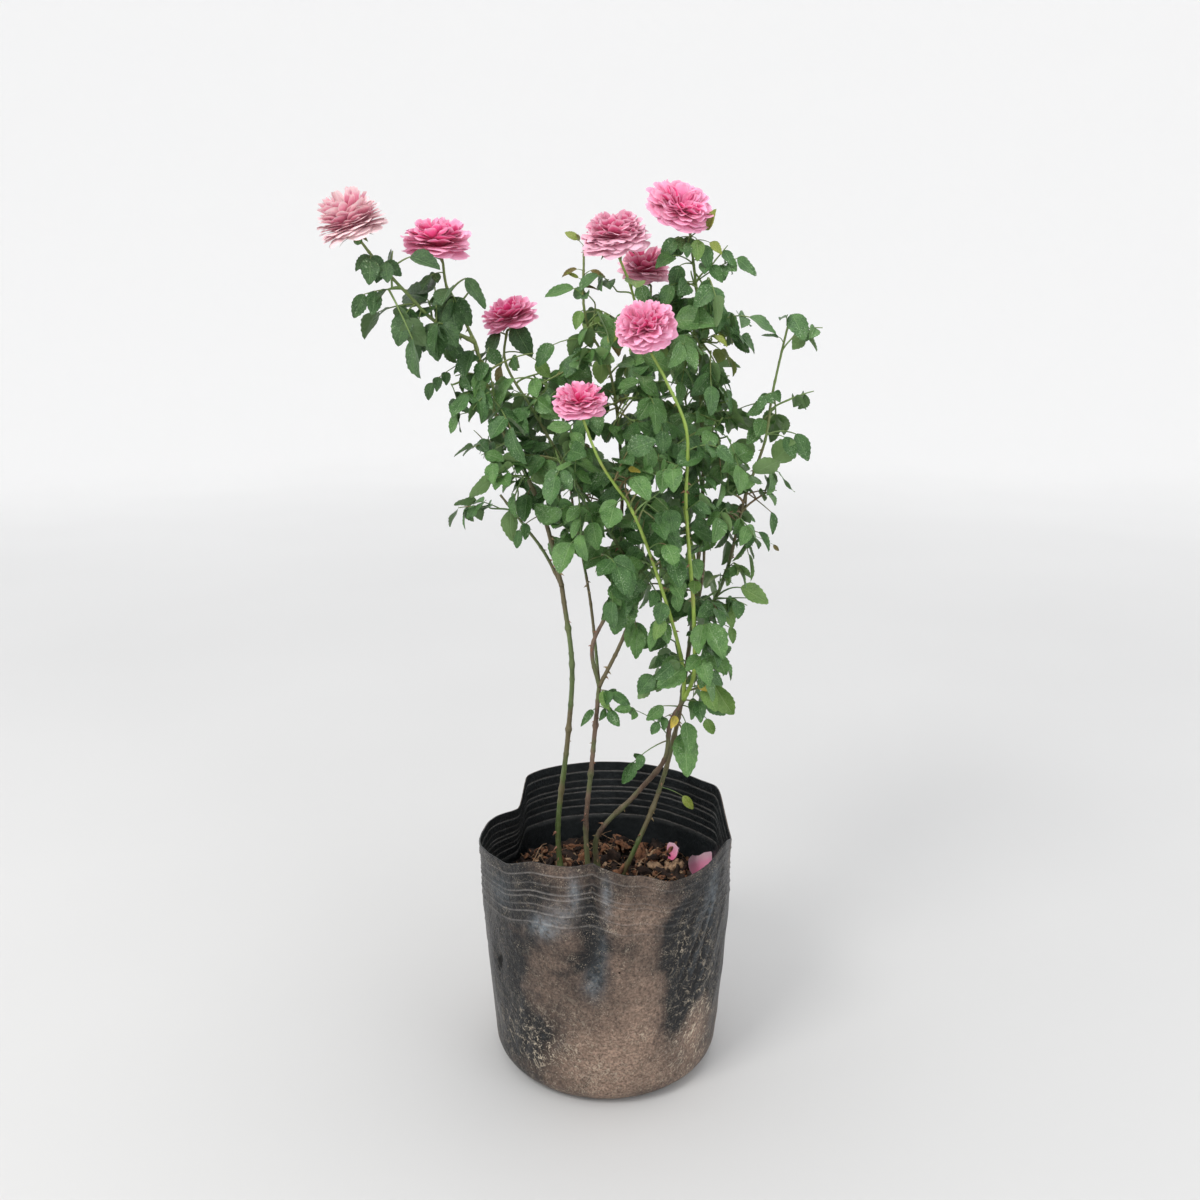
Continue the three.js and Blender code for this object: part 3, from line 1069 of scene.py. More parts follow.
@dataclass
class Bag:
    """The soft round nursery bag, its film worked out by spinning one profile."""

    rim_radius: float = 0.165
    base_radius: float = 0.149
    corner: float = 0.030
    film: float = 0.0022
    bulge: float = 0.003
    flat_rim: float = 0.326
    steps: int = 224
    rim: tuple[tuple[float, float], ...] = (
        (0, 303), (20, 343), (40, 337), (134, 336), (143, 297), (180, 303), (218, 317),
        (240, 337), (263, 341), (282, 330), (300, 313), (318, 316), (335, 326), (360, 303),
    )
    folds: tuple[Fold, ...] = (
        Fold(263, 7, 0.009), Fold(143, 10, 0.012), Fold(12, 10, 0.005), Fold(263.5, 1.8, 0.004),
    )
    dents: tuple[Patch, ...] = (
        Patch(262, 0.82, 7, 0.10, 0.004), Patch(251, 0.72, 8, 0.09, -0.002),
        Patch(266, 0.60, 5, 0.16, 0.0035), Patch(276, 0.75, 6, 0.14, -0.003),
        Patch(300, 0.62, 14, 0.20, 0.003), Patch(318, 0.45, 8, 0.16, -0.003),
        Patch(232, 0.40, 16, 0.22, -0.002), Patch(212, 0.50, 4, 0.06, 0.004),
        Patch(60, 0.5, 20, 0.2, 0.003), Patch(150, 0.6, 14, 0.2, -0.003),
        Patch(100, 0.7, 12, 0.15, 0.003),
    )
    dust: tuple[Patch, ...] = (
        Patch(289, 0.68, 8, 0.32, 0.34), Patch(268, 0.16, 34, 0.24, 0.62),
        Patch(244, 0.52, 10, 0.16, 0.10), Patch(264, 0.80, 7, 0.20, -0.42),
        Patch(265, 0.55, 4, 0.12, -0.25), Patch(316, 0.68, 18, 0.26, -1.35),
        Patch(318, 0.16, 10, 0.16, 0.40), Patch(330, 0.62, 14, 0.26, -1.10),
        Patch(242, 0.24, 13, 0.10, -0.45),
        Patch(266, 0.66, 7, 0.20, -0.20), Patch(244, 0.64, 16, 0.20, -0.12),
        Patch(304, 0.34, 7, 0.13, -0.85), Patch(203, 0.55, 30, 0.60, -0.90),
        Patch(222, 0.14, 18, 0.15, -0.60), Patch(348, 0.50, 18, 0.60, -0.30),
        Patch(236, 0.86, 18, 0.16, -0.22), Patch(80, 0.35, 50, 0.35, 0.35),
        Patch(140, 0.6, 14, 0.3, -0.45), Patch(30, 0.7, 16, 0.2, -0.4),
    )
    # Patches of painted sheen: highlights and reflections painted onto the film.
    painted_sheen_patches: tuple[Patch, ...] = (
        Patch(242, 0.730, 6, 0.045, 0.9), Patch(250, 0.79, 6, 0.06, 0.40),
        Patch(256, 0.89, 2.2, 0.07, 0.65), Patch(270, 0.88, 2.0, 0.08, 0.60),
        Patch(264, 0.49, 4.0, 0.06, 0.45), Patch(268, 0.62, 3.0, 0.12, 0.25),
        Patch(216, 0.86, 7, 0.07, 0.3), Patch(324, 0.84, 5, 0.12, 0.4),
        Patch(110, 0.7, 9, 0.08, 0.7),
    )
    scuffed: tuple[Patch, ...] = (
        Patch(236, 0.18, 24, 0.15, 0.80), Patch(318, 0.18, 14, 0.19, 1.5),
        Patch(306, 0.68, 6, 0.10, 0.65), Patch(322, 0.50, 10, 0.20, 0.45),
        Patch(285, 0.27, 5, 0.03, 1.2),
        Patch(262, 0.08, 40, 0.09, 0.40), Patch(60, 0.25, 40, 0.2, 0.5),
        Patch(140, 0.2, 40, 0.15, 0.55),
    )
    crumpled: tuple[Patch, ...] = (
        Patch(320, 0.60, 17, 0.32, 1.3), Patch(232, 0.20, 22, 0.16, 0.6),
        Patch(90, 0.5, 22, 0.3, 0.8),
        Patch(180, 0.6, 18, 0.3, 0.7),
    )
    worn: tuple[Patch, ...] = (
        Patch(242, 0.86, 30, 0.3, 0.40), Patch(100, 0.86, 40, 0.3, 0.35),
        Patch(175, 0.86, 20, 0.3, 0.3),
    )
    ridges: tuple[float, ...] = (0.958, 0.915, 0.880, 0.858, 0.822, 0.790, 0.744)
    ridge_height: float = 0.0011
    ridge_width: float = 0.0030
    smooth_below: float = 0.03
    crest_width: float = 0.05

    def rim_height(self, angle: float) -> float:
        """Give the rim's height at an angle in degrees."""
        angle %= 360.0
        for (start, low), (end, high) in zip(self.rim, self.rim[1:]):
            if angle <= end:
                return (low + (high - low) * float(smoothstep(angle, start, end))) * MM
        return self.rim[-1][1] * MM

    def wall_shift(self, angle: float, share: float) -> float:
        """Give how far the film stands off its even cone.

        Args:
            angle: Angle round the bag in degrees.
            share: Share of the wall's height, from 0 at the foot to 1 at the rim.

        Returns:
            The shift outwards in metres.
        """
        inward = sum(fold.at(angle) for fold in self.folds)
        inward = inward * float(smoothstep(share, 0.55, 1.0))
        inward += total(self.dents, angle, share)
        turn = math.radians(angle)
        swirl = noise.noise(Vector((3 * math.cos(turn), 3 * math.sin(turn), 4 * share)))
        creases = noise.noise(Vector((9 * math.cos(turn), 9 * math.sin(turn), 6 * share + 5)))
        crumple = total(self.crumpled, angle, share)
        if crumple > self.smooth_below:
            inward += 0.0070 * crumple * min(self._fold(angle, share), 0.45)
        return self.bulge * math.sin(math.pi * share) - inward + 0.0022 * swirl + 0.0009 * creases

    @staticmethod
    def _fold(angle: float, share: float) -> float:
        """Give the slanting folds of the crumpled patches, 0 on their crests."""
        return abs(noise.noise(Vector((0.30 * (angle - 50.0 * share), 2.0 * share, 3.0))))

    def crest_sheen(self, angle: float, share: float) -> float:
        """Give how strongly painted sheen lies on a crest of the crumpled patches' folds.

        Args:
            angle: Angle round the bag in degrees.
            share: Share of the wall's height.

        Returns:
            The strength, from 0 to about 1.
        """
        crumple = total(self.crumpled, angle, share)
        if crumple <= self.smooth_below:
            return 0.0
        return crumple * math.exp(-((self._fold(angle, share) / self.crest_width) ** 2))

    def inner_radius(self, angle: float, height: float) -> float:
        """Give the radius of the film's inside at an angle in degrees and a height."""
        share = (height - self.corner) / (self.rim_height(angle) - self.corner)
        even = self.base_radius + (self.rim_radius - self.base_radius) * share
        return even + self.wall_shift(angle, share) - self.film

    def ridge_at(self, share: float) -> float:
        """Give the strength, from 0 to 1, of the raised lines at a share of the wall."""
        return max((1.0 - 0.45 * (k % 3 == 1)) * math.exp(-(((share - r) / self.ridge_width) ** 2))
                   for k, r in enumerate(self.ridges))

    def _profile(self) -> list[tuple[float, float]]:
        """Give the even profile as (radius, height), up outside, over the rim and down inside."""
        low = [(self.base_radius - self.corner) * s for s in (0.0, 0.3, 0.6, 0.85, 1.0)]
        outside = [(r, 0.0) for r in low]
        for turn in np.linspace(0, math.pi / 2, 8)[1:]:
            outside.append((self.base_radius - self.corner + self.corner * math.sin(turn),
                            self.corner * (1 - math.cos(turn))))
        shares = [*np.linspace(0, 0.74, 40)[1:], *np.linspace(0.74, 1.0, 92)[1:]]
        outside += [(self.base_radius + (self.rim_radius - self.base_radius) * s,
                     self.corner + (self.flat_rim - self.corner) * s) for s in shares]
        rim_r, rim_z = outside[-1]
        bead = [(rim_r - self.film * part, rim_z + 0.0006) for part in (0.15, 0.85)]
        inside = [(max(r - self.film, 0.0), max(z, self.film)) for r, z in outside[::-1]
                  if z > 0.15 or z == 0.0]
        return outside + bead + inside

    def build(self) -> None:
        """Spin the profile, lay the film in its folds and dress it."""
        bm = spin(self._profile(), self.steps)
        bmesh.ops.recalc_face_normals(bm, faces=bm.faces)
        marks = {name: bm.verts.layers.float.new(name)
                 for name in ("inner", "ridge", "dusty", "painted_sheen", "chalky")}
        for v in bm.verts:
            self._lay(v, marks)
        finish_piece(from_bmesh("bag_film", bm), FilmFinish(), "bag", "bag")

    def _lay(self, v: bmesh.types.BMVert, marks: dict[str, object]) -> None:
        """Move one point of the even spun film to its place in the soft bag and mark its state.

        Args:
            v: The point.
            marks: The layers that its finish reads, by name.
        """
        radius = math.hypot(v.co.x, v.co.y)
        share = (v.co.z - self.corner) / (self.flat_rim - self.corner)
        angle = math.degrees(math.atan2(v.co.y, v.co.x)) % 360.0
        held = min(max(share, 0.0), 1.0)
        v[marks["dusty"]] = 0.48 + total(self.dust, angle, held)
        # Painted sheen: highlight patches plus lines of highlight along the fold crests.
        v[marks["painted_sheen"]] = total(self.painted_sheen_patches, angle, held)
        v[marks["painted_sheen"]] += 0.22 * self.crest_sheen(angle, held)
        v[marks["chalky"]] = total(self.scuffed, angle, held)
        if share <= 0.0:
            return
        even = self.base_radius + (self.rim_radius - self.base_radius) * min(share, 1.0)
        line = self.ridge_at(share)
        outside = radius > even - 0.6 * self.film
        v[marks["inner"]] = 0.0 if outside else 1.0
        worn = 0.13 + total(self.worn, angle, held)
        v[marks["ridge"]] = line * (worn if outside else 0.42)
        fade = float(smoothstep(share, 0.0, 0.12))
        shift = self.wall_shift(angle, share) * fade + line * self.ridge_height
        scale = (radius + shift) / radius
        v.co.x *= scale
        v.co.y *= scale
        v.co.z = self.corner + (self.rim_height(angle) - self.corner) * share


# ---- Soil ----


@dataclass
class Soil:
    """The bark and coir mix: a plain bed under loose lumps, chips, fibres and petals."""

    bag: Bag
    wall_height: float = 0.208
    crown_height: float = 0.2225
    plateau: float = 0.082
    slope_end: float = 0.19
    film_line: float = 0.205
    skirt: float = 0.185
    rough: tuple[Point, ...] = ((0.0050, 38, 1.0), (0.0040, 110, 4.0), (0.0022, 330, 7.0))
    centre: tuple[float, float] = (-0.008, 0.042)
    radius: float = 0.158
    sides: int = 132
    lumps: int = 190
    chips: int = 1500
    fibres: int = 420
    seed: int = 5
    heaps: tuple[Point, ...] = (
        (-0.088, 0.080, 0.012), (0.085, 0.098, 0.012), (0.012, 0.112, 0.008),
        (0.060, -0.030, -0.006),
    )
    fallen: tuple[tuple[float, float, float, float], ...] = (
        (0.098, 0.080, 0.024, -60.0), (0.125, 0.062, 0.037, 35.0),
    )

    def height(self, x: float, y: float) -> float:
        """Give the height of the loose top at a place.

        Args:
            x: Place to the right.
            y: Place to the back.

        Returns:
            The height in metres.
        """
        away = math.hypot(x - self.centre[0], y - self.centre[1])
        fall = float(smoothstep(away, self.plateau, self.slope_end))
        heaps = sum(h * math.exp(-((x - hx) ** 2 + (y - hy) ** 2) / 0.0007)
                    for hx, hy, h in self.heaps)
        lumps = sum(h * noise.noise(Vector((x * fine, y * fine, layer)))
                    for h, fine, layer in self.rough)
        drop = (self.crown_height - self.wall_height) * fall
        return self.crown_height - drop + lumps + heaps - 0.002

    def edge(self, x: float, y: float) -> float:
        """Give how far the soil reaches towards a place, up to the film."""
        angle = math.degrees(math.atan2(y, x)) % 360.0
        return self.bag.inner_radius(angle, self.film_line) - 0.0004

    def build(self) -> None:
        """Build the bed up to the film and everything that lies on it."""
        bm = bmesh.new()
        bmesh.ops.create_circle(bm, cap_ends=True, segments=self.sides, radius=self.radius)
        rim = bm.edges[:]
        for v in bm.verts:
            v.co *= self.edge(v.co.x, v.co.y) / self.radius
            v.co.z = self.height(v.co.x, v.co.y)
        low, _ = grow(bm, rim)
        bmesh.ops.scale(bm, vec=(0.95, 0.95, 1.0), verts=low)
        for v in low:
            v.co.z = self.skirt
        bmesh.ops.contextual_create(bm, geom=low)
        bmesh.ops.recalc_face_normals(bm, faces=bm.faces)
        crumb = CrumbFinish("soil_crumb", (0.006, 0.003, 0.002), (0.060, 0.028, 0.015))
        finish_piece(from_bmesh("soil_bed", bm), crumb, "soil", "soil")
        self._scatter()
        self._fall()

    def _spot(self, rng: Random) -> tuple[float, float]:
        """Draw an even random place on the soil."""
        turn = rng.random() * 2 * math.pi
        r = (self.edge(math.cos(turn), math.sin(turn)) - 0.015) * math.sqrt(rng.random())
        return r * math.cos(turn), r * math.sin(turn)

    def _chip(self, seed: int) -> Shape:
        """Make one rough lump from a block that is cut up, rounded and shaken.

        Args:
            seed: Which lump.

        Returns:
            The lump, about one across.
        """
        bm = bmesh.new()
        bmesh.ops.create_cube(bm, size=1.0)
        bmesh.ops.subdivide_edges(bm, edges=bm.edges[:], cuts=2, use_grid_fill=True)
        for v in bm.verts:
            v.co = v.co.lerp(v.co.normalized() * 0.62, 0.55)
            v.co *= 1.0 + 0.75 * noise.noise(v.co * 2.1 + Vector((seed, 2.0 * seed, 0.0)))
        return Shape.take(bm)

    def _scatter(self) -> None:
        """Strew lumps, chips and fibres over the surface."""
        rng = np.random.default_rng(self.seed)
        shapes = [self._chip(k) for k in range(5)]
        kinds = {
            "soil_dark": CrumbFinish("bark_dark", (0.004, 0.002, 0.0015), (0.042, 0.020, 0.012)),
            "soil_rust": CrumbFinish("bark_rust", (0.040, 0.014, 0.007), (0.360, 0.165, 0.082)),
            "soil_tan": CrumbFinish("bark_tan", (0.110, 0.060, 0.034), (0.580, 0.380, 0.230)),
        }
        bundles = {name: Bundle(name) for name in kinds}
        lump, chip = np.array([0.027, 0.016, 0.008]), np.array([0.014, 0.006, 0.0026])
        for k in range(self.lumps + self.chips):
            x, y = self._spot(rng)
            name = rng.choice(list(kinds), p=(0.52, 0.36, 0.12))
            size = lump if k < self.lumps else chip
            axes = self._tumble(rng, 0.75) * (rng.uniform(0.4, 1.1, 3) * size)
            rise = size[2] * 0.3 + rng.uniform(0.0, 0.0025)
            bundles[name].place(shapes[k % 5], np.array([x, y, self.height(x, y) + rise]), axes)
        strands = Bundle("soil_fibres")
        for _ in range(self.fibres):
            x, y = self._spot(rng)
            heading = unit(np.array([*rng.normal(size=2), rng.normal() * 0.25]))
            bend = rng.normal(size=3) * 0.35
            t = np.linspace(0, 1, 6)[:, None] * rng.uniform(0.008, 0.026)
            path = np.array([x, y, 0.0]) + heading * t + bend * t * t / 0.02
            reach = np.array([self.edge(px, py) - 0.004 for px, py in path[:, :2]])
            away = np.hypot(path[:, 0], path[:, 1])
            path[:, :2] *= np.minimum(reach / away, 1.0)[:, None]
            path[:, 2] += [self.height(px, py) + 0.003 for px, py in path[:, :2]]
            strands.tube(path, np.full(6, rng.uniform(0.0003, 0.0008)), 4)
        for name, finish in kinds.items():
            finish_piece(bundles[name].build(), finish, "soil")
        straw = CrumbFinish("fibre_tan", (0.12, 0.066, 0.034), (0.46, 0.30, 0.18))
        finish_piece(strands.build(), straw, "soil")

    def _fall(self) -> None:
        """Lay a few fallen petals on the soil."""
        bundle = Bundle("fallen_petals")
        sheet = Shape.grid(6, 7)
        u, v = sheet.points[:, 0], sheet.points[:, 1]
        for x, y, size, turn in self.fallen:
            spread = 0.58 * np.sin(np.pi * (0.06 + 0.58 * v)) ** 1.1
            lift = 0.85 * (u * spread) ** 2 + 0.55 * (v - 0.35) ** 2
            lift = lift + 0.06 * np.sin(4 * u + turn) * v
            dent = 0.10 * np.exp(-(((u - 0.2) / 0.3) ** 2)) * v ** 4
            bowed = v - 0.5 - 0.16 * u * u * v - dent
            local = np.stack([u * spread, bowed, lift + 0.12], -1) * size
            angle = math.radians(turn)
            tilt = Matrix.Rotation(angle, 3, "Z") @ Matrix.Rotation(0.80, 3, "X")
            base = np.array([x, y, self.height(x, y) + 0.010])
            bundle.add(local @ np.array(tilt).T + base, sheet.faces, sheet.uv, -0.35)
        faded = PetalFinish("petal_fallen", (0.72, 0.14, 0.30), (0.84, 0.36, 0.52),
                            (0.90, 0.60, 0.70), (0.86, 0.46, 0.60))
        finish_piece(bundle.build(), faded, "petals")

    @staticmethod
    def _tumble(rng: Random, flat: float) -> Array:
        """Draw a random rotation.

        Args:
            rng: The random source.
            flat: How far the third axis may lean, 0 for upright.

        Returns:
            Three unit axes as columns.
        """
        third = unit(UP * 0.8 + rng.normal(size=3) * flat)
        first = across(rng.normal(size=3), third)
        return np.stack([first, np.cross(third, first), third], -1)


# ---- Canes ----


class Bark(Enum):
    """The barks: old brown cane, green wood and the lime stalks of this year."""

    BROWN = "bark_brown"
    GREEN = "bark_green"
    LIME = "bark_lime"

    @property
    def slot(self) -> str:
        """The record's slot that it belongs to."""
        return "bark_brown" if self is Bark.BROWN else "bark_green"


BARK_FINISHES = {
    Bark.BROWN: BarkFinish("bark_brown", (0.075, 0.045, 0.030), (0.22, 0.15, 0.105),
                           (0.12, 0.15, 0.06), 0.5, 0.78, 0.0009),
    Bark.GREEN: BarkFinish("bark_green", (0.055, 0.088, 0.024), (0.140, 0.190, 0.064),
                           (0.140, 0.100, 0.055), 0.60, 0.5, 0.0007),
    Bark.LIME: BarkFinish("bark_lime", (0.200, 0.320, 0.042), (0.400, 0.540, 0.105),
                          (0.26, 0.22, 0.06), 0.0, 0.45, 0.0004, (0.24, 0.36, 0.07)),
}


@dataclass
class Limb:
    """One tapering limb, its path and radii in millimetres as the frame has them."""

    name: str
    bark: Bark
    radius: tuple[float, float]
    path: tuple[Point, ...]
    flared: bool = False
    knots: tuple[float, ...] = ()
    spine: Spine = field(init=False)

    def __post_init__(self) -> None:
        """Work out the path."""
        self.spine = Spine(mm(self.path))

    def thickness(self, share: float) -> float:
        """Give the even radius at a share of the length, in metres."""
        return (self.radius[0] + (self.radius[1] - self.radius[0]) * share) * MM


LIMBS = (
    Limb("cane_left", Bark.GREEN, (3.6, 3.0), flared=True, knots=(0.3, 0.52, 0.74, 0.86),
         path=((-62, 50, 222.4), (-65, 48, 290), (-50, 36, 429), (-44, 28, 528), (-56, 15, 637))),
    Limb("bough_left", Bark.GREEN, (2.9, 2.4),
         ((-56, 15, 637), (-75, 5, 722), (-99, -5, 785), (-129, -15, 848), (-152, -25, 936))),
    Limb("bough_arch", Bark.GREEN, (2.3, 1.5),
         ((-152, -25, 936), (-197, -35, 961), (-226, -45, 992), (-260, -55, 1031),
          (-271, -57, 1046))),
    Limb("bough_arch_side", Bark.GREEN, (2.0, 1.5),
         ((-152, -25, 936), (-166, -20, 965), (-183, -15, 996), (-188, -10, 1027))),
    Limb("bough_left_side", Bark.GREEN, (2.3, 1.5),
         ((-56, 15, 637), (-78, 25, 678), (-102, 40, 707), (-134, 60, 744))),
    Limb("cane_middle", Bark.BROWN, (3.4, 2.9), flared=True, knots=(0.25, 0.55, 0.8),
         path=((-24, 45, 222.4), (-27, 42, 297), (-19, 38, 386), (-9, 30, 499))),
    Limb("bough_middle", Bark.BROWN, (2.7, 1.3),
         ((-9, 30, 499), (-18, 25, 552), (7, 20, 617), (19, 28, 718), (5, 30, 895),
          (-25, 30, 962), (-27, 30, 1044))),
    Limb("bough_middle_left", Bark.GREEN, (2.6, 1.5),
         ((-9, 30, 499), (20, 15, 566), (39, 0, 635), (10, -15, 702), (-40, -20, 779),
          (-92, 15, 860), (-124, 50, 912), (-121, 58, 946))),
    Limb("bough_middle_back", Bark.GREEN, (2.2, 1.3),
         ((-9, 30, 499), (-21, 85, 600), (-45, 130, 725), (-58, 140, 843))),
    Limb("cane_right", Bark.BROWN, (3.5, 3.0), flared=True, knots=(0.35, 0.6, 0.85),
         path=((-12, 62, 222.4), (-12, 58, 272), (39, 52, 336), (78, 36, 396), (84, 30, 448),
               (100, 20, 484))),
    Limb("bough_front", Bark.LIME, (2.8, 1.6),
         ((100, 20, 484), (110, 0, 522), (107, -20, 610), (93, -45, 751), (91, -55, 839),
          (67, -64, 894), (49, -66, 926))),
    Limb("bough_front_left", Bark.LIME, (2.5, 1.5),
         ((100, 20, 484), (97, 5, 533), (67, -35, 644), (29, -65, 747), (-8, -80, 806),
          (-27, -86, 855))),
    Limb("cane_back", Bark.GREEN, (3.3, 2.9), flared=True, knots=(0.3, 0.6, 0.8),
         path=((22, 42, 222.4), (42, 40, 269), (73, 58, 343), (96, 66, 437), (110, 60, 552))),
    Limb("bough_top", Bark.GREEN, (2.8, 1.5),
         ((110, 60, 552), (117, 60, 640), (122, 62, 763), (116, 52, 863), (109, 35, 971),
          (96, 24, 1064))),
    Limb("bough_right", Bark.GREEN, (2.5, 1.3),
         ((110, 60, 552), (149, 52, 631), (173, 40, 745), (194, 30, 817), (201, 30, 875),
          (216, 25, 957))),
    Limb("bough_back_right", Bark.GREEN, (2.2, 1.3),
         ((110, 60, 552), (130, 110, 648), (120, 150, 762), (102, 150, 868))),
    Limb("bough_inner", Bark.LIME, (2.4, 1.4),
         ((117, 60, 640), (98, 85, 733), (67, 75, 837), (46, 40, 924), (29, 8, 994),
          (13, -8, 1032))),
    Limb("bough_inner_back", Bark.GREEN, (1.9, 1.3),
         ((46, 40, 924), (53, 60, 965), (54, 68, 998))),
)
LIMB_BY_NAME = {limb.name: limb for limb in LIMBS}


@dataclass
class Canes:
    """All limbs with their bark's relief, leaf scars and prickles."""

    sides: int = 12
    step: float = 0.0028
    node_gap: float = 0.036
    sink: float = 0.010
    brown_rough: float = 0.00042
    green_rough: float = 0.00022
    seed: int = 11

    def build(self) -> None:
        """Build each limb and the prickles."""
        for number, limb in enumerate(LIMBS):
            piece = self._limb(limb, number)
            finish_piece(piece, BARK_FINISHES[limb.bark], limb.bark.slot, limb.name)
        self._prickles()

    def _swell(self, limb: Limb, number: int, along: float) -> float:
        """Give the factor by which nodes, scars and the foot thicken a limb.

        Args:
            limb: The limb.
            number: Its number, which shifts its nodes.
            along: Distance from its foot.

        Returns:
            The factor on its radius.
        """
        phase = (along / self.node_gap + 0.37 * number) % 1.0
        ring = 0.20 * math.exp(-((min(phase, 1 - phase) * self.node_gap / 0.0022) ** 2))
        knots = sum(0.32 * math.exp(-(((along - k * limb.spine.length) / 0.005) ** 2))
                    for k in limb.knots)
        foot = 0.75 * math.exp(-along / 0.010) if limb.flared else 0.22 * math.exp(-along / 0.006)
        return 1.0 + ring + knots + foot

    def _limb(self, limb: Limb, number: int) -> bpy.types.Object:
        """Draw a ring along the limb's path and roughen it.

        Args:
            limb: The limb.
            number: Its number.

        Returns:
            The limb's mesh object.
        """
        spine = limb.spine
        count = max(int(spine.length / self.step), 12)
        shares = np.linspace(0.0, 1.0, count)
        points, sides, tops = spine.frames(shares)
        bm = bmesh.new()
        bmesh.ops.create_circle(bm, cap_ends=True, segments=self.sides, radius=1.0)
        edges = bm.edges[:]
        moves = []
        for share, centre, side, top in zip(shares, points, sides, tops):
            along = float(share) * spine.length
            radius = limb.thickness(float(share)) * self._swell(limb, number, along)
            zig = 0.0006 * math.sin(math.pi * along / self.node_gap + number)
            ahead = np.cross(side, top)
            columns = [side * radius, top * radius, ahead * radius]
            frame_matrix = Matrix(np.stack(columns, -1).tolist()).to_4x4()
            frame_matrix.translation = Vector(centre + side * zig)
            moves.append(frame_matrix)
        if limb.flared:
            moves.insert(0, Matrix.Translation((0, 0, -self.sink)) @ moves[0])
        bmesh.ops.transform(bm, matrix=moves[0], verts=bm.verts)
        for before, after in zip(moves, moves[1:]):
            verts, edges = grow(bm, edges)
            bmesh.ops.transform(bm, matrix=after @ before.inverted(), verts=verts)
        bmesh.ops.contextual_create(bm, geom=edges)
        bmesh.ops.recalc_face_normals(bm, faces=bm.faces)
        bm.normal_update()
        depth = self.brown_rough if limb.bark is Bark.BROWN else self.green_rough
        for v in bm.verts:
            rough = noise.noise(v.co * 260.0) + 0.5 * noise.noise(v.co * 700.0)
            v.co += v.normal * depth * rough
        return from_bmesh("bark_" + limb.name, bm)

    def _prickle(self) -> Shape:
        """Make one curved prickle from a bent cone, one long along its Y axis."""
        bm = bmesh.new()
        bmesh.ops.create_cone(bm, cap_ends=False, segments=6, radius1=0.42, radius2=0.05, depth=1.0)
        bmesh.ops.subdivide_edges(
            bm, edges=[e for e in bm.edges if abs(e.verts[0].co.z - e.verts[1].co.z) > 0.5], cuts=2)
        for v in bm.verts:
            rise = v.co.z + 0.5
            v.co = Vector((v.co.x * 0.55, rise, v.co.y * (1 - 0.2 * rise) - 0.5 * rise * rise))
        return Shape.take(bm)

    def _prickles(self) -> None:
        """Set prickles round every limb."""
        rng = np.random.default_rng(self.seed)
        shape = self._prickle()
        bundle = Bundle("prickles")
        for limb in LIMBS:
            count = int(limb.spine.length / 0.030)
            for share in np.sort(rng.uniform(0.03, 0.93, count)):
                ahead = limb.spine.along(float(share))
                out = across(rng.normal(size=3), ahead)
                size = rng.uniform(0.0028, 0.0055) * (1.15 - 0.4 * share)
                base = limb.spine.at(float(share)) + out * limb.thickness(float(share)) * 0.8
                axes = np.stack([np.cross(out, ahead), out, ahead], -1) * size
                bundle.place(shape, base, axes)
        thorn = BarkFinish("prickle", (0.16, 0.055, 0.035), (0.34, 0.16, 0.09),
                           (0.30, 0.24, 0.12), 0.5, 0.45, 0.0002)
        finish_piece(bundle.build(), thorn, "bark_green")


# ---- Blooms ----


@dataclass(frozen=True)
class BloomPlan:
    """Where a bloom sits, how large and how open it is, and which limb carries it.

    Droop bends the lips down, hollow sinks the heart, pale fades it and loose shakes it.
    """

    name: str
    limb: str
    at: Point
    radius: float
    facing: Point
    petals: int = 120
    droop: float = 0.0
    hollow: float = 0.12
    pale: float = 0.0
    loose: float = 1.0
    dome: float = 1.08

    @property
    def axes(self) -> Array:
        """Three unit axes as columns, the third along the way it faces."""
        face = unit(np.array(self.facing, float))
        side = across(np.array([1.0, 0.0, 0.0]), face)
        return np.stack([side, np.cross(face, side), face], -1)

    @property
    def centre(self) -> Array:
        """Middle of the bloom in metres."""
        return mm(self.at)

    @property
    def base(self) -> Array:
        """Where the petals spring from, in metres."""
        return self.centre - self.axes[:, 2] * self.radius * MM * 0.46


BLOOMS = (
    BloomPlan("bloom_arch_tip", "bough_arch", (-281, -60, 1068), 42, (-0.30, -0.18, 0.93),
              100, droop=0.9, hollow=0.0, pale=0.85, loose=0.6, dome=1.22),
    BloomPlan("bloom_arch", "bough_arch_side", (-193, -14, 1056), 43, (0.02, -0.26, 0.96),
              74, droop=0.1, hollow=0.25, pale=0.19, dome=0.98),
    BloomPlan("bloom_behind_arch", "bough_middle_left", (-120, 62, 970), 38, (-0.28, -0.26, 0.92),
              70, droop=0.3, pale=0.19, dome=0.9),
    BloomPlan("bloom_middle", "bough_inner", (9, -13, 1059), 43, (-0.10, -0.30, 0.94),
              130, droop=0.9, hollow=0.05, pale=0.6, loose=1.1, dome=0.94),
    BloomPlan("bloom_top", "bough_top", (87, 12, 1095), 44, (0.26, -0.54, 0.80),
              100, droop=0.05, hollow=0.40, pale=0.0, loose=0.9, dome=0.84),
    BloomPlan("bloom_shaded", "bough_inner_back", (47, 68, 1025), 36, (0.1, -0.34, 0.93),
              56, droop=0.4, pale=0.55),
    BloomPlan("bloom_front", "bough_front", (42, -74, 962), 38, (-0.10, -0.60, 0.79),
              124, droop=0.45, hollow=0.25, pale=0.15, dome=0.90),
    BloomPlan("bloom_front_left", "bough_front_left", (-31, -94, 881), 33, (-0.04, -0.40, 0.92),
              90, droop=0.1, hollow=0.2, pale=0.1, dome=0.9),
)


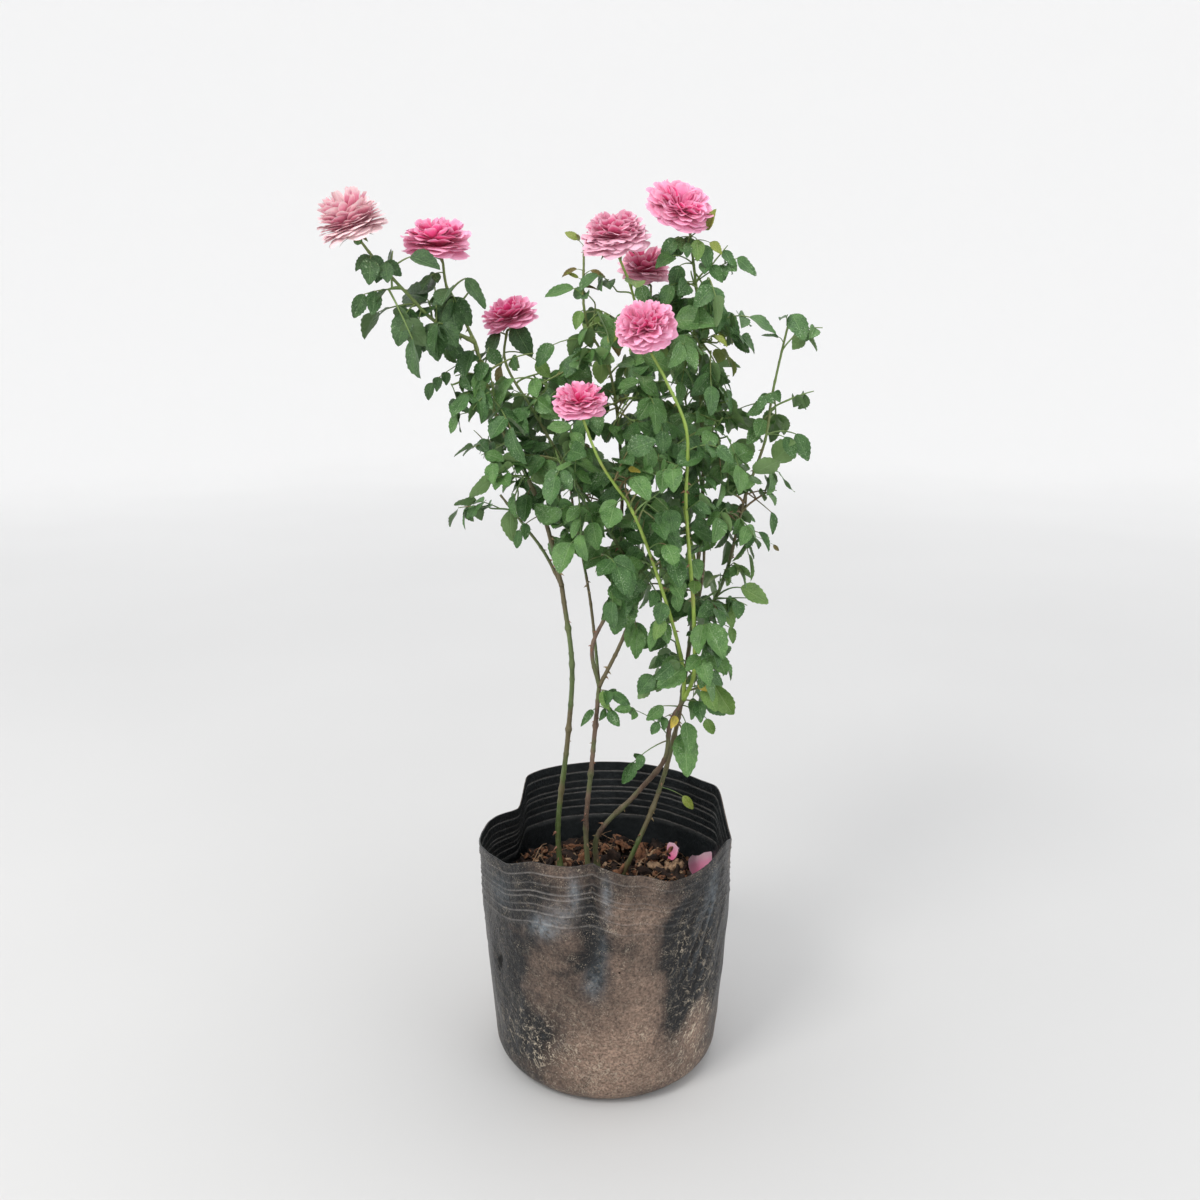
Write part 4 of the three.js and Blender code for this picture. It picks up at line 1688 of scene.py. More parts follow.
@dataclass
class Blossom:
    """All blooms, with their hips, sepals and stalks.

    A bloom's petals rise from its base and open in a dome, packed by the golden angle.
    """

    seed: int = 23
    columns: int = 8
    rows: int = 10
    spread: float = 94.0
    shoulder: float = 0.05
    soft_from: float = 0.2
    faded_from: float = 0.8

    def build(self) -> None:
        """Build each bloom and the green parts below them."""
        pink = PetalFinish("petal_pink", (0.64, 0.012, 0.135), (0.88, 0.120, 0.330),
                           (0.95, 0.48, 0.67), (0.78, 0.14, 0.34))
        soft = PetalFinish("petal_soft", (0.50, 0.018, 0.105), (0.74, 0.15, 0.30),
                           (0.90, 0.54, 0.66), (0.70, 0.19, 0.34))
        faded = PetalFinish("petal_faded", (0.60, 0.050, 0.160), (0.85, 0.335, 0.455),
                            (0.93, 0.70, 0.72), (0.80, 0.46, 0.52))
        green = Bundle("calyxes")
        sheet = Shape.grid(self.columns, self.rows)
        for number, plan in enumerate(BLOOMS):
            rng = np.random.default_rng(self.seed + number)
            bundle = Bundle("petals_" + plan.name)
            for k in range(plan.petals):
                self._petal(bundle, sheet, plan, k, rng)
            fading = (plan.pale > self.soft_from) + (plan.pale > self.faded_from)
            finish_piece(bundle.build(), (pink, soft, faded)[fading], "petals", plan.name)
            self._calyx(green, plan, rng)
        hip = LeafFinish("calyx_green", (0.05, 0.13, 0.03), (0.12, 0.24, 0.06),
                         (0.17, 0.27, 0.10), (0.16, 0.27, 0.09), 0.1)
        finish_piece(green.build(), hip, "bark_green")

    def _path(self, plan: BloomPlan, f: float, rng: Random) -> Array:
        """Give the four control points of a petal's rib, as distance out and height.

        Args:
            plan: Its bloom.
            f: Its place from the heart, 0, to the outermost, 1.
            rng: The random source.

        Returns:
            The points in metres, one row each.
        """
        size = plan.radius * MM
        polar = math.acos(1 - f * (1 - math.cos(math.radians(self.spread))))
        polar += rng.normal() * 0.045 * plan.loose
        sink = plan.hollow * math.exp(-((polar / 0.75) ** 2))
        out = size * 0.94 * math.sin(polar) ** 0.78 * rng.uniform(0.95, 1.03)
        up = size * (self.shoulder + (plan.dome - sink) * math.cos(polar)) * rng.uniform(0.97, 1.03)
        foot, lip = np.array([0.03 * size, 0.0]), np.array([out, up])
        reach = float(np.linalg.norm(lip - foot))
        start = max(0.66 * polar - 0.1, 0.0)
        turned = -50 + (156 + 30 * plan.droop) * f ** 0.45 + rng.normal() * 9 * plan.loose
        end = math.radians(turned)
        first = foot + 0.45 * reach * np.array([math.sin(start), math.cos(start)])
        last = lip - 0.30 * reach * np.array([math.sin(end), math.cos(end)])
        return np.stack([foot, first, last, lip])

    def _petal(self, bundle: Bundle, sheet: Shape, plan: BloomPlan, k: int,
               rng: Random) -> None:
        """Shape one petal and join it.

        Args:
            bundle: Where it goes.
            sheet: The flat grid that it starts from.
            plan: Its bloom.
            k: Its number, from the heart outwards.
            rng: The random source.
        """
        f = (k + 0.5) / plan.petals
        size = plan.radius * MM
        knots = self._path(plan, f, rng)
        u, v = sheet.points[:, 0], sheet.points[:, 1]
        dent = rng.uniform(0.0, 0.07) * np.exp(-(((u - rng.uniform(-0.3, 0.3)) / 0.22) ** 2))
        t = v * (1 - 0.19 * np.abs(u) ** (3.4 - f)) - dent * v ** 4
        place = cubic(t) @ knots
        slopes = np.stack([(1 - t) ** 2, 2 * (1 - t) * t, t * t], -1)
        slopes = unit(slopes @ np.diff(knots, axis=0))
        half = size * (0.15 + 0.30 * f ** 0.8) * rng.uniform(0.80, 1.25)
        width = half * (0.30 + 0.70 * np.sin(0.5 * np.pi * np.minimum(v / 0.75, 1.0)))
        width = width * (1 - (0.16 + 0.12 * f) * smoothstep(v, 0.75, 1.0))
        beat, phase = rng.uniform(1.4, 3.0) + 1.6 * (1 - f), rng.uniform(0, 6.28)
        ruffle = (0.062 - 0.030 * f) * size * v ** 3 * np.sin(beat * u + phase) * plan.loose
        cup = (0.30 * f - 0.22) * half * u * u * v
        place = place + slopes[:, ::-1] * [1.0, -1.0] * (ruffle + cup)[:, None]
        yaw = rng.normal() * 0.95 * (1 - f) ** 0.8 * plan.loose
        out, up = place[:, 0] + u * width * v * math.sin(yaw), place[:, 1]
        turn = k * GOLDEN + rng.normal() * 0.14 * plan.loose
        turn += 0.24 * (1 - f) * math.sin(4 * turn)
        bend = turn + u * width * math.cos(yaw) / np.maximum(np.abs(out), 0.30 * size)
        local = np.stack([out * np.cos(bend), out * np.sin(bend), up], -1)
        tone = 0.55 * (1.0 - f) ** 1.5 - 0.5 * plan.pale * (0.25 + f) + rng.normal() * 0.22
        bundle.add(local @ plan.axes.T + plan.base, sheet.faces, sheet.uv, tone)

    def _calyx(self, bundle: Bundle, plan: BloomPlan, rng: Random) -> None:
        """Join a hip, its sepals and the last stretch of stalk.

        Args:
            bundle: Where they go.
            plan: Their bloom.
            rng: The random source.
        """
        face = plan.axes[:, 2]
        tip = LIMB_BY_NAME[plan.limb].spine
        start, heading = tip.at(1.0), tip.along(1.0)
        neck = plan.base - face * 0.006
        pull = np.linalg.norm(neck - start) * 0.35
        knots = np.array([start, start + heading * pull, neck - face * pull, neck])
        stalk = cubic(np.linspace(0, 1, 9)) @ knots
        bundle.tube(stalk, np.linspace(0.0015, 0.0017, 9), 7)
        s = np.linspace(0, 1, 8)
        hip = neck - face * 0.002 + np.outer(s, face) * 0.011
        swell = np.sin(np.pi * np.minimum(s * 1.15 + 0.05, 1.0)) ** 0.8
        bundle.tube(hip, 0.0018 + 0.0034 * swell, 8)
        leaf = Shape.grid(2, 6)
        for k in range(5):
            turn = k * 2 * math.pi / 5 + rng.normal() * 0.15
            out = plan.axes[:, 0] * math.cos(turn) + plan.axes[:, 1] * math.sin(turn)
            side = np.cross(face, out)
            v = leaf.points[:, 1]
            length = rng.uniform(0.017, 0.024)
            wide = 0.0034 * np.sin(np.pi * np.clip(0.18 + 0.82 * v, 0, 1)) ** 0.7
            droop = rng.uniform(0.2, 1.1)
            rise = 0.6 * v - droop * v * v
            points = plan.base - face * 0.001 + np.outer(v * length, out)
            points = points + np.outer(rise * length, face)
            points = points + np.outer(leaf.points[:, 0] * wide, side)
            bundle.add(points, leaf.faces, leaf.uv, 0.2)


# ---- Foliage ----


@dataclass(frozen=True)
class Mass:
    """The room that one foliage mass fills, in millimetres, and how it is leaved."""

    name: str
    at: Point
    half: Point
    density: float = 1.0
    young: float = 0.045
    leaf: float = 1.0
    # Whether its seeded leaves take the darkest tint, which is a painted shade.
    dark: bool = False

    @property
    def centre(self) -> Array:
        """Middle in metres."""
        return mm(self.at)

    @property
    def size(self) -> Array:
        """Half sizes in metres."""
        return mm(self.half)

    def depth(self, point: Array) -> float:
        """Give how far out a point is: 0 in the middle, 1 on the surface."""
        return float(np.linalg.norm((point - self.centre) / self.size))


MASSES = (
    Mass("foliage_arch_tip", (-257, -50, 995), (31, 27, 42), 0.25, 0.0, 1.1, True),
    Mass("foliage_arch_middle", (-207, -40, 953), (35, 36, 44), 0.7, 0.0, 1.2, True),
    Mass("foliage_arch_root", (-172, -10, 993), (52, 36, 34), 0.5, 0.0, 1.15, True),
    Mass("foliage_left_upper", (-132, -10, 898), (48, 50, 58), 1.05, leaf=1.1),
    Mass("foliage_left_hanging", (-190, -40, 890), (28, 24, 26), 0.3, 0.0, 0.8, True),
    Mass("foliage_left_middle", (-125, 0, 805), (56, 56, 50), 1.0),
    Mass("foliage_left_lower", (-130, 38, 742), (50, 48, 50), 0.75, leaf=0.9),
    Mass("foliage_centre_left", (-62, 22, 885), (56, 56, 56), 1.2),
    Mass("foliage_centre", (-55, -38, 790), (62, 60, 54), 1.4),
    Mass("foliage_centre_low", (-12, -30, 693), (56, 54, 50), 1.3),
    Mass("foliage_upper_centre", (0, 28, 980), (42, 46, 64), 0.95, 0.3, 0.95),
    Mass("foliage_under_top", (112, 20, 1012), (50, 48, 46), 1.25, 0.04),
    Mass("foliage_upper_right", (112, 0, 938), (56, 56, 48), 1.5),
    Mass("foliage_upper_core", (38, 12, 866), (60, 62, 58), 1.6),
    Mass("foliage_right_upper", (132, 20, 840), (56, 62, 58), 1.4),
    Mass("foliage_core", (50, -52, 780), (60, 60, 56), 1.6),
    Mass("foliage_right_middle", (137, 10, 740), (48, 60, 56), 1.3),
    Mass("foliage_core_low", (55, -35, 678), (56, 54, 50), 1.7, leaf=0.9),
    Mass("foliage_right_low", (127, 38, 615), (56, 52, 55), 1.4, 0.2, 0.9),
    Mass("foliage_right_tip", (217, 25, 945), (29, 28, 28), 0.2, leaf=0.9),
    Mass("foliage_right_bough", (208, 30, 855), (40, 40, 54), 0.95, leaf=0.95),
    Mass("foliage_right_bough_low", (192, 42, 742), (42, 42, 60), 0.8),
    Mass("foliage_low_right", (105, 24, 545), (52, 44, 52), 1.5, 0.15, 0.85),
    Mass("foliage_shoot_right", (112, 36, 392), (22, 18, 34), 0.0),
    Mass("foliage_shoot_left", (-3, 0, 482), (38, 20, 28), 0.0),
    Mass("foliage_back_left", (-62, 132, 840), (62, 54, 72), 0.8),
    Mass("foliage_back_middle", (24, 140, 745), (62, 54, 72), 0.9),
    Mass("foliage_back_right", (104, 138, 870), (62, 56, 74), 1.0),
    Mass("foliage_back_top", (28, 126, 935), (46, 48, 56), 0.9),
    Mass("foliage_back_low", (70, 118, 632), (54, 46, 56), 0.9),
)


@dataclass(frozen=True)
class Spray:
    """One listed leaf: its limb and share, its reach in millimetres and its leaflets."""

    limb: str
    share: float
    reach: Point
    leaflet: float
    tint: Tint = Tint.MID
    pairs: int = 1
    hang: float = 0.9
    wide: float = 0.9


DARK, DEEP, MID, FRESH, YOUNG, BRONZE, YELLOW = Tint


def sprays(limb: str, *rows: tuple) -> tuple[Spray, ...]:
    """Set sprays on one limb, each given by a row of its other fields."""
    return tuple(Spray(limb, *row) for row in rows)


# Sprays in the darkest tint carry its painted shade.
SPRAYS = (
    *sprays("bough_arch", (0.88, (0, -15, 4), 28, DARK, 1, 1.0),
            (0.80, (8, -12, 6), 26, DARK, 1, 1.2), (0.74, (26, -10, 25), 38, DARK, 0, 0.7),
            (0.60, (-42, -8, 2), 32, DARK, 1, 1.8, 0.8),
            (0.62, (-14, -6, 2), 24, DARK, 0, 0.3, 0.6), (0.47, (-10, -20, -6), 35, DARK, 1, 1.5),
            (0.42, (-8, -8, -24), 28, DARK, 0, 2.5, 0.7), (0.30, (4, -20, 0), 40, DARK, 1, 1.6)),
    *sprays("bough_arch_side", (0.62, (8, -20, -4), 44, DARK, 1, 1.3),
            (0.62, (18, -2, 26), 42, DARK, 0, 1.5, 0.75),
            (0.86, (-14, -12, 2), 22, DARK, 1, 0.6)),
    *sprays("bough_middle_left", (1.0, (10, -6, 8), 46, DARK, 0, 1.4),
            (0.99, (-10, -6, 8), 38, DARK, 0, 1.4)),
    *sprays("bough_left", (0.97, (-4, -12, 2), 34, DARK, 0, 1.2)),
    *sprays("bough_middle_left", (0.96, (-4, 6, -16), 30, BRONZE, 0, 1.8, 0.7),
            (0.95, (40, -8, 10), 28, FRESH, 0, 0.5)),
    *sprays("bough_left", (0.95, (-54, -6, -16), 22, DARK, 2, 1.4),
            (0.75, (-40, 0, -3), 26, MID, 0, 1.3), (0.45, (-44, -6, 14), 28, MID, 1, 0.8),
            (0.42, (-4, -8, -4), 30, DEEP, 0, 2.2), (0.93, (0, -14, -6), 40, MID, 0, 2.6, 0.8),
            (0.30, (-30, -6, -6), 24, DEEP, 1, 1.6, 0.75)),
    *sprays("bough_right", (1.0, (4, -6, 17), 40, DEEP, 0, 1.0),
            (0.99, (-4, -4, 15), 32, DARK, 0, 0.75, 0.4),
            (0.94, (-6, -4, 15), 22, DARK, 0, 0.2, 0.4), (0.80, (2, -4, 3), 18, DEEP, 0, 0.8),
            (0.80, (-10, -8, 2), 20, DEEP, 1, 0.8), (0.68, (34, -6, 18), 36, DEEP, 0, 1.7, 0.75),
            (0.68, (22, -6, 6), 28, DEEP, 0, 1.2, 0.8), (0.58, (28, -8, 0), 28, MID, 0, 1.2, 0.7),
            (0.50, (30, -4, -20), 30, DEEP, 0, 2.2, 0.5),
            (0.38, (26, -4, 8), 28, DEEP, 0, 1.0, 0.6),
            (0.38, (46, -2, -10), 12, BRONZE, 0, 0.5, 0.6),
            (0.16, (30, -10, 34), 46, FRESH, 0, 0.6), (0.14, (14, -14, 10), 34, FRESH, 0, 1.4),
            (0.08, (34, -4, -2), 26, FRESH, 0, 2.4, 0.7)),
    *sprays("bough_top", (0.98, (20, -12, 18), 24, YOUNG, 0, -1.6, 0.75),
            (0.97, (20, -14, 8), 20, YOUNG, 0, 0.3), (0.97, (14, -12, 4), 26, DEEP, 0, 1.6, 0.75),
            (0.99, (-2, -16, -6), 20, DEEP, 1, 1.2), (0.98, (-20, -14, 2), 24, DEEP, 1, 1.0),
            (0.98, (8, -16, 2), 24, FRESH, 0, 1.8), (0.95, (-12, -8, 12), 21, DEEP, 1, 0.8),
            (0.95, (-24, -10, 16), 24, DEEP, 0, 1.4), (0.92, (-18, -10, 6), 30, DEEP, 0, 2.0),
            (0.92, (-28, -24, 22), 32, DEEP, 0, 0.3, 0.8),
            (0.88, (-30, -28, 4), 27, DEEP, 1, 1.4), (0.93, (20, -8, 0), 26, DEEP, 1, 0.4),
            (0.88, (46, -8, 36), 28, DEEP, 2, 1.0), (0.84, (-18, -12, 6), 30, DEEP, 1, 1.2),
            (0.82, (30, -8, 2), 34, DEEP, 1, 1.0), (0.78, (42, 0, -4), 30, DEEP, 0, 0.4, 0.7)),
    *sprays("bough_inner", (0.75, (40, -44, 42), 46, MID, 0, 0.15),
            (0.90, (3, -18, 20), 34, FRESH, 0, 0.5), (0.88, (12, -16, 6), 27, DEEP, 0, 1.0),
            (0.84, (-14, -12, 2), 28, MID, 0, 1.3)),
    *sprays("bough_middle", (1.0, (-8, -3, 10), 15, YOUNG, 1, -0.3),
            (0.95, (-8, 0, 4), 18, BRONZE, 0, 0.1, 0.45),
            (0.93, (-6, 0, 4), 16, YOUNG, 0, 0.1, 0.45),
            (0.94, (8, 0, 8), 22, BRONZE, 0, 0.9, 0.5),
            (0.91, (2, 0, 6), 18, BRONZE, 0, 0.7, 0.45),
            (0.90, (-12, 0, 13), 32, MID, 0, 0.95, 0.6), (0.87, (-4, -4, 0), 22, FRESH, 0, 1.2),
            (0.84, (12, -14, 14), 44, MID, 0, 1.5, 0.8), (0.80, (-22, -8, -8), 32, DEEP, 1, 0.9),
            (0.78, (-30, -8, 6), 34, MID, 0, 1.0), (0.80, (-50, -6, 17), 30, DEEP, 0, 0.9)),
    *sprays("bough_middle_left", (0.52, (-38, -10, 10), 28, MID, 1, 1.0)),
    *sprays("bough_inner", (0.92, (10, -10, 0), 28, MID, 0, 1.2)),
    *sprays("bough_middle", (0.82, (20, -8, 6), 30, BRONZE, 0, 1.6),
            (0.22, (4, -14, 2), 32, MID, 1, 0.9)),
    *sprays("bough_middle_left", (0.22, (2, -16, -10), 40, MID, 1, 2.5, 0.8)),
    *sprays("bough_front_left", (0.30, (-14, -8, 6), 34, MID, 1, 0.8),
            (0.34, (-10, -14, -2), 26, FRESH, 0, 1.4), (0.80, (16, -10, 22), 15, YELLOW, 0, 0.8)),
    *sprays("bough_front", (0.36, (4, -12, 26), 28, FRESH, 0, 0.9),
            (0.24, (16, -12, 20), 44, MID, 1, 1.3), (0.20, (26, -6, -4), 30, MID, 1, 1.2),
            (0.17, (6, -16, 2), 32, MID, 1, 0.6), (0.10, (-14, -12, 18), 44, MID, 0, 1.6),
            (0.10, (16, -6, 8), 28, DEEP, 0, 1.0), (0.06, (8, -10, 18), 15, YELLOW, 0, 0.8, 0.8),
            (0.04, (34, -6, 14), 44, FRESH, 1, 1.5)),
    *sprays("cane_right", (1.0, (28, -6, 0), 32, DEEP, 1, 0.8),
            (0.97, (34, -4, -4), 28, FRESH, 0, 2.0), (0.96, (-22, -8, 6), 30, MID, 0, 1.4),
            (0.94, (-2, -12, 0), 18, YELLOW, 0, 0.6), (0.92, (-22, -6, 0), 20, DEEP, 1, 0.5),
            (0.80, (-44, -12, 66), 22, MID, 1, 0.5, 0.8)),
    *sprays("cane_middle", (0.98, (5, -8, 4), 30, FRESH, 0, 3.4, 0.8),
            (0.98, (18, -8, 4), 26, DEEP, 1, 0.7, 0.8),
            (0.90, (16, -8, 0), 26, DEEP, 1, 0.9, 0.8),
            (0.89, (-6, -6, 0), 26, DEEP, 0, 0.2, 0.5)),
    *sprays("cane_right", (0.78, (-46, -12, -10), 30, DEEP, 1, 0.8, 0.75)),
    *sprays("cane_back", (0.39, (30, -8, -2), 24, YOUNG, 0, 0.6, 0.7),
            (0.70, (6, -24, 8), 42, MID, 0, 0.9), (0.66, (8, -24, 0), 54, MID, 0, 1.8),
            (0.80, (40, -4, 14), 28, FRESH, 1, 1.6)),
)


@dataclass(frozen=True)
class Sight:
    """The front view: blooms and some stems stay in sight, and openings keep clear of leaves.

    An opening is given as slopes across and up from the eye and a radius, in thousandths.
    """

    eye: Point = EYE
    pitch: float = PITCH
    room: float = 0.0030
    stems: tuple[tuple[str, float, float], ...] = (
        ("bough_front", 0.0, 1.0), ("bough_front_left", 0.0, 1.0), ("bough_inner", 0.86, 1.0),
        ("bough_middle_left", 0.66, 0.95), ("bough_arch", 0.35, 0.75),
    )
    openings: tuple[Point, ...] = (
        (113, 332, 10), (122, 312, 10), (101, 303, 6), (127, 261, 11), (109, 269, 7),
        (98, 223, 5),
        (120, 216, 7), (122, 188, 7), (78, 286, 5), (-26, 247, 11), (-28, 279, 6), (-58, 205, 10),
        (-70, 190, 6), (-106, 147, 9), (-90, 290, 10), (-129, 136, 5), (172, 198, 14),
        (168, 94, 12),
        (179, 125, 7), (126, 167, 6), (99, 30, 9), (-21, 23, 8), (3, 9, 8), (-35, -16, 12),
        (14, 162, 9), (-10, 62, 4), (19, 75, 4), (-70, 107, 4), (7, 123, 4), (78, -35, 5),
        (92, -54, 4), (120, -84, 7), (87, -113, 7), (146, 23, 10), (137, -10, 11),
        (-223, 250, 10),
        (-188, 242, 7), (-174, 226, 7), (50, -17, 4), (-106, 117, 7), (-108, 54, 7),
        (-133, 178, 7),
        (10, 209, 4), (-28, 10, 8), (78, -77, 4),
    )

    def project(self, points: Array) -> Array:
        """See points from the eye.

        Args:
            points: The points, one row each.

        Returns:
            Their places across and up as slopes, and their depth.
        """
        off = np.atleast_2d(points) - np.array(self.eye)
        sine, cosine = math.sin(math.radians(self.pitch)), math.cos(math.radians(self.pitch))
        depth = off[:, 1] * cosine - off[:, 2] * sine
        rise = off[:, 1] * sine + off[:, 2] * cosine
        return np.stack([off[:, 0] / depth, rise / depth, depth], -1)

    def kept(self) -> Array:
        """Give the stems that stay in sight, as seen points."""
        rows = [LIMB_BY_NAME[name].spine.at(np.linspace(start, end, 90))
                for name, start, end in self.stems]
        rows += [np.linspace(LIMB_BY_NAME[plan.limb].spine.at(1.0), plan.base, 20)
                 for plan in BLOOMS]
        return self.project(np.concatenate(rows))

    def hides(self, leaflet: Array, kept: Array) -> bool:
        """Tell whether a leaflet hides one of the kept points or closes an opening.

        Args:
            leaflet: Points on the leaflet.
            kept: The kept points as seen.

        Returns:
            True if it does.
        """
        seen = self.project(leaflet)
        holes = np.array(self.openings) * 0.001
        off = np.linalg.norm(seen[:, None, :2] - holes[None, :, :2], axis=2)
        if (off < holes[:, 2]).any():
            return True
        away = np.linalg.norm(seen[:, None, :2] - kept[None, :, :2], axis=2)
        nearer = seen[:, None, 2] < kept[None, :, 2] - 0.003
        return bool(((away < self.room) & nearer).any())


@dataclass(frozen=True)
class LeafletForm:
    """How one kind of leaflet is bent: folded along its rib, curled to its tip, waved."""

    fold: float
    curl: float
    wave: float
    twist: float

    def build(self, columns: int = 4, rows: int = 13) -> Shape:
        """Shape a toothed oval leaflet, one long and about 0.72 wide.

        Args:
            columns: Faces across.
            rows: Faces along.

        Returns:
            The leaflet.
        """
        sheet = Shape.grid(columns, rows)
        u, v = sheet.points[:, 0], sheet.points[:, 1]
        outline = (v + 0.01) ** 0.58 * (1.0 - v) ** 0.88
        outline = outline / outline.max() * 0.375
        row = np.rint(v * rows)
        edge = np.abs(u) > 0.99
        tooth = np.where((row % 2 == 1) & edge & (v > 0.05) & (v < 0.97), 1.0, 0.0)
        outline = outline * (1.0 - 0.075 * tooth)
        x = u * outline
        y = v + 0.020 * edge * (1 - tooth) * (v > 0.05) * (v < 0.97)
        z = self.fold * np.abs(x) - self.curl * v ** 2.2
        z = z + self.wave * np.abs(u) ** 1.5 * np.sin(v * 9.0 + self.twist * 7 + np.sign(u))
        z = z + self.twist * x * v
        return Shape(np.stack([x, y, z], -1), sheet.faces, sheet.uv)


@dataclass
class Crown:
    """Twigs, compound leaves and their stalks, grown from the limbs inside each mass.

    Low and high are the corners of the box that leaves keep to.
    """

    low: Array
    high: Array
    seed: int = 41
    leaf_room: float = 0.00023
    bloom_gap: float = 0.010
    leaflet_length: float = 0.0285
    forms: tuple[LeafletForm, ...] = (
        LeafletForm(0.30, 0.10, 0.018, 0.05), LeafletForm(0.16, 0.16, 0.026, -0.12),
        LeafletForm(0.42, 0.22, 0.020, 0.10), LeafletForm(0.08, 0.06, 0.032, 0.16),
        LeafletForm(0.24, 0.30, 0.022, -0.06), LeafletForm(0.52, 0.12, 0.014, 0.00),
    )
    sight: Sight = Sight()
    twigs: Bundle = field(default_factory=lambda: Bundle("twigs"))
    stalks: Bundle = field(default_factory=lambda: Bundle("leaf_stalks"))

    def __post_init__(self) -> None:
        """Look up the stems that stay in sight, shape the leaflets and start the bundles."""
        self.kept = self.sight.kept()
        self.shapes = [form.build() for form in self.forms]
        self.leaves = {tint: Bundle("leaves_" + tint.name.lower()) for tint in Tint}

    def build(self) -> None:
        """Grow every mass, set the sprays and join the leaves by tint."""
        for number, mass in enumerate(MASSES):
            self._grow(mass, np.random.default_rng(self.seed + number))
        for number, spray in enumerate(SPRAYS):
            self._set_spray(spray, np.random.default_rng(1000 + self.seed + number))
        names = [mass.name for mass in MASSES]
        for tint, bundle in self.leaves.items():
            replaced = names if tint is Tint.DEEP else []
            finish_piece(bundle.build(), LEAF_FINISHES[tint], "leaves", *replaced)
        green = BarkFinish("twig_green", (0.07, 0.14, 0.035), (0.17, 0.27, 0.08),
                           (0.20, 0.10, 0.06), 0.35, 0.5, 0.0003)
        for bundle in (self.twigs, self.stalks):
            finish_piece(bundle.build(), green, "bark_green")

    def _footholds(self, mass: Mass) -> list[tuple[Limb, float]]:
        """Find where limbs pass through a mass, or the nearest place if none does.

        Args:
            mass: The mass.

        Returns:
            Limbs with the shares of their length.
        """
        inside, nearest, best = [], None, 1e9
        for limb in LIMBS:
            for share in np.arange(0.04, 0.97, max(0.012 / limb.spine.length, 0.01)):
                depth = mass.depth(limb.spine.at(float(share)))
                if depth < 1.0:
                    inside.append((limb, float(share)))
                if depth < best:
                    nearest, best = (limb, float(share)), depth
        return inside or [nearest]

    def _tint(self, mass: Mass, rng: Random) -> Tint:
        """Deal a spray its tint.

        Args:
            mass: The mass that it grows in.
            rng: The random source.

        Returns:
            The tint.
        """
        draw = rng.random()
        if draw < mass.young:
            return Tint.YOUNG if rng.random() < 0.45 else Tint.FRESH
        # Masses marked dark take the darkest tint, a painted shade.
        if mass.dark:
            return Tint.DARK
        return Tint.MID if rng.random() < 0.42 else Tint.DEEP

    def _grow(self, mass: Mass, rng: Random) -> None:
        """Grow twigs from the limbs into a mass and leaves along both.

        Args:
            mass: The mass.
            rng: The random source.
        """
        if not mass.density:
            return
        footholds = self._footholds(mass)
        wide, deep, tall = mass.size
        area = (wide * tall + wide * deep + deep * tall) / 3
        budget = max(int(round(mass.density * area / self.leaf_room)), 3)
        twig_count = max(budget // 3, 1)
        for k in range(twig_count):
            rise = 1 - 2 * (k + 0.5) / twig_count
            turn = k * GOLDEN + rng.normal() * 0.3
            flat = math.sqrt(max(1 - rise * rise, 0.0))
            way = np.array([flat * math.cos(turn), flat * math.sin(turn), rise])
            target = mass.centre + mass.size * way * rng.uniform(0.25, 0.55)
            limb, share = min(
                (footholds[i] for i in rng.integers(0, len(footholds), 5)),
                key=lambda hold: float(np.linalg.norm(hold[0].spine.at(hold[1]) - target
                                                      + UP * 0.02)))
            self._twig(mass, limb, share, target, rng)
        for number, (limb, share) in enumerate(footholds[::2]):
            bare = limb.name.startswith("cane") and mass.name != "foliage_low_right"
            if len(footholds) > 1 and not bare and rng.random() < 0.5 * min(mass.density, 1.3):
                base = limb.spine.at(share)
                ahead = limb.spine.along(share)
                turn = number * GOLDEN + rng.normal() * 0.4
                heading = unit(around(ahead, turn) + ahead * 0.7)
                self._leaf(base, heading, self._tint(mass, rng), rng, mass.leaf)

    def _twig(self, mass: Mass, limb: Limb, share: float, target: Array,
              rng: Random) -> None:
        """Grow one twig with its spray of leaves.

        Args:
            mass: The mass.
            limb: The limb that carries the twig.
            share: Where on the limb it starts.
            target: Where it ends.
            rng: The random source.
        """
        start = limb.spine.at(share)
        reach = float(np.linalg.norm(target - start))
        ahead = limb.spine.along(share)
        first = start + (ahead * 0.5 + unit(target - start) * 0.6) * reach * 0.4
        second = target - (UP * 0.35 + rng.normal(size=3) * 0.15) * reach * 0.35
        path = cubic(np.linspace(0, 1, 9)) @ np.array([start, first, second, target])
        thick = min(0.0017, limb.thickness(share) * 0.8)
        self.twigs.tube(path, np.linspace(thick, 0.0009, 9), 6)
        tint = self._tint(mass, rng)
        spine = Spine(path[::2], 6)
        count = 2 + int(rng.random() < 0.65) + int(reach > 0.055)
        for k in range(count):
            place = 1.0 - 0.24 * k - (rng.uniform(0, 0.08) if k else 0.0)
            if place < 0.2:
                break
            ahead = spine.along(place)
            turn = k * GOLDEN + rng.uniform(0, 6.28)
            outward = unit(spine.at(place) - mass.centre + 1e-4)
            heading = around(ahead, turn) * 0.75 + outward * 0.75 + ahead * 0.45 + UP * 0.15
            self._leaf(spine.at(place), unit(heading), tint, rng, mass.leaf)

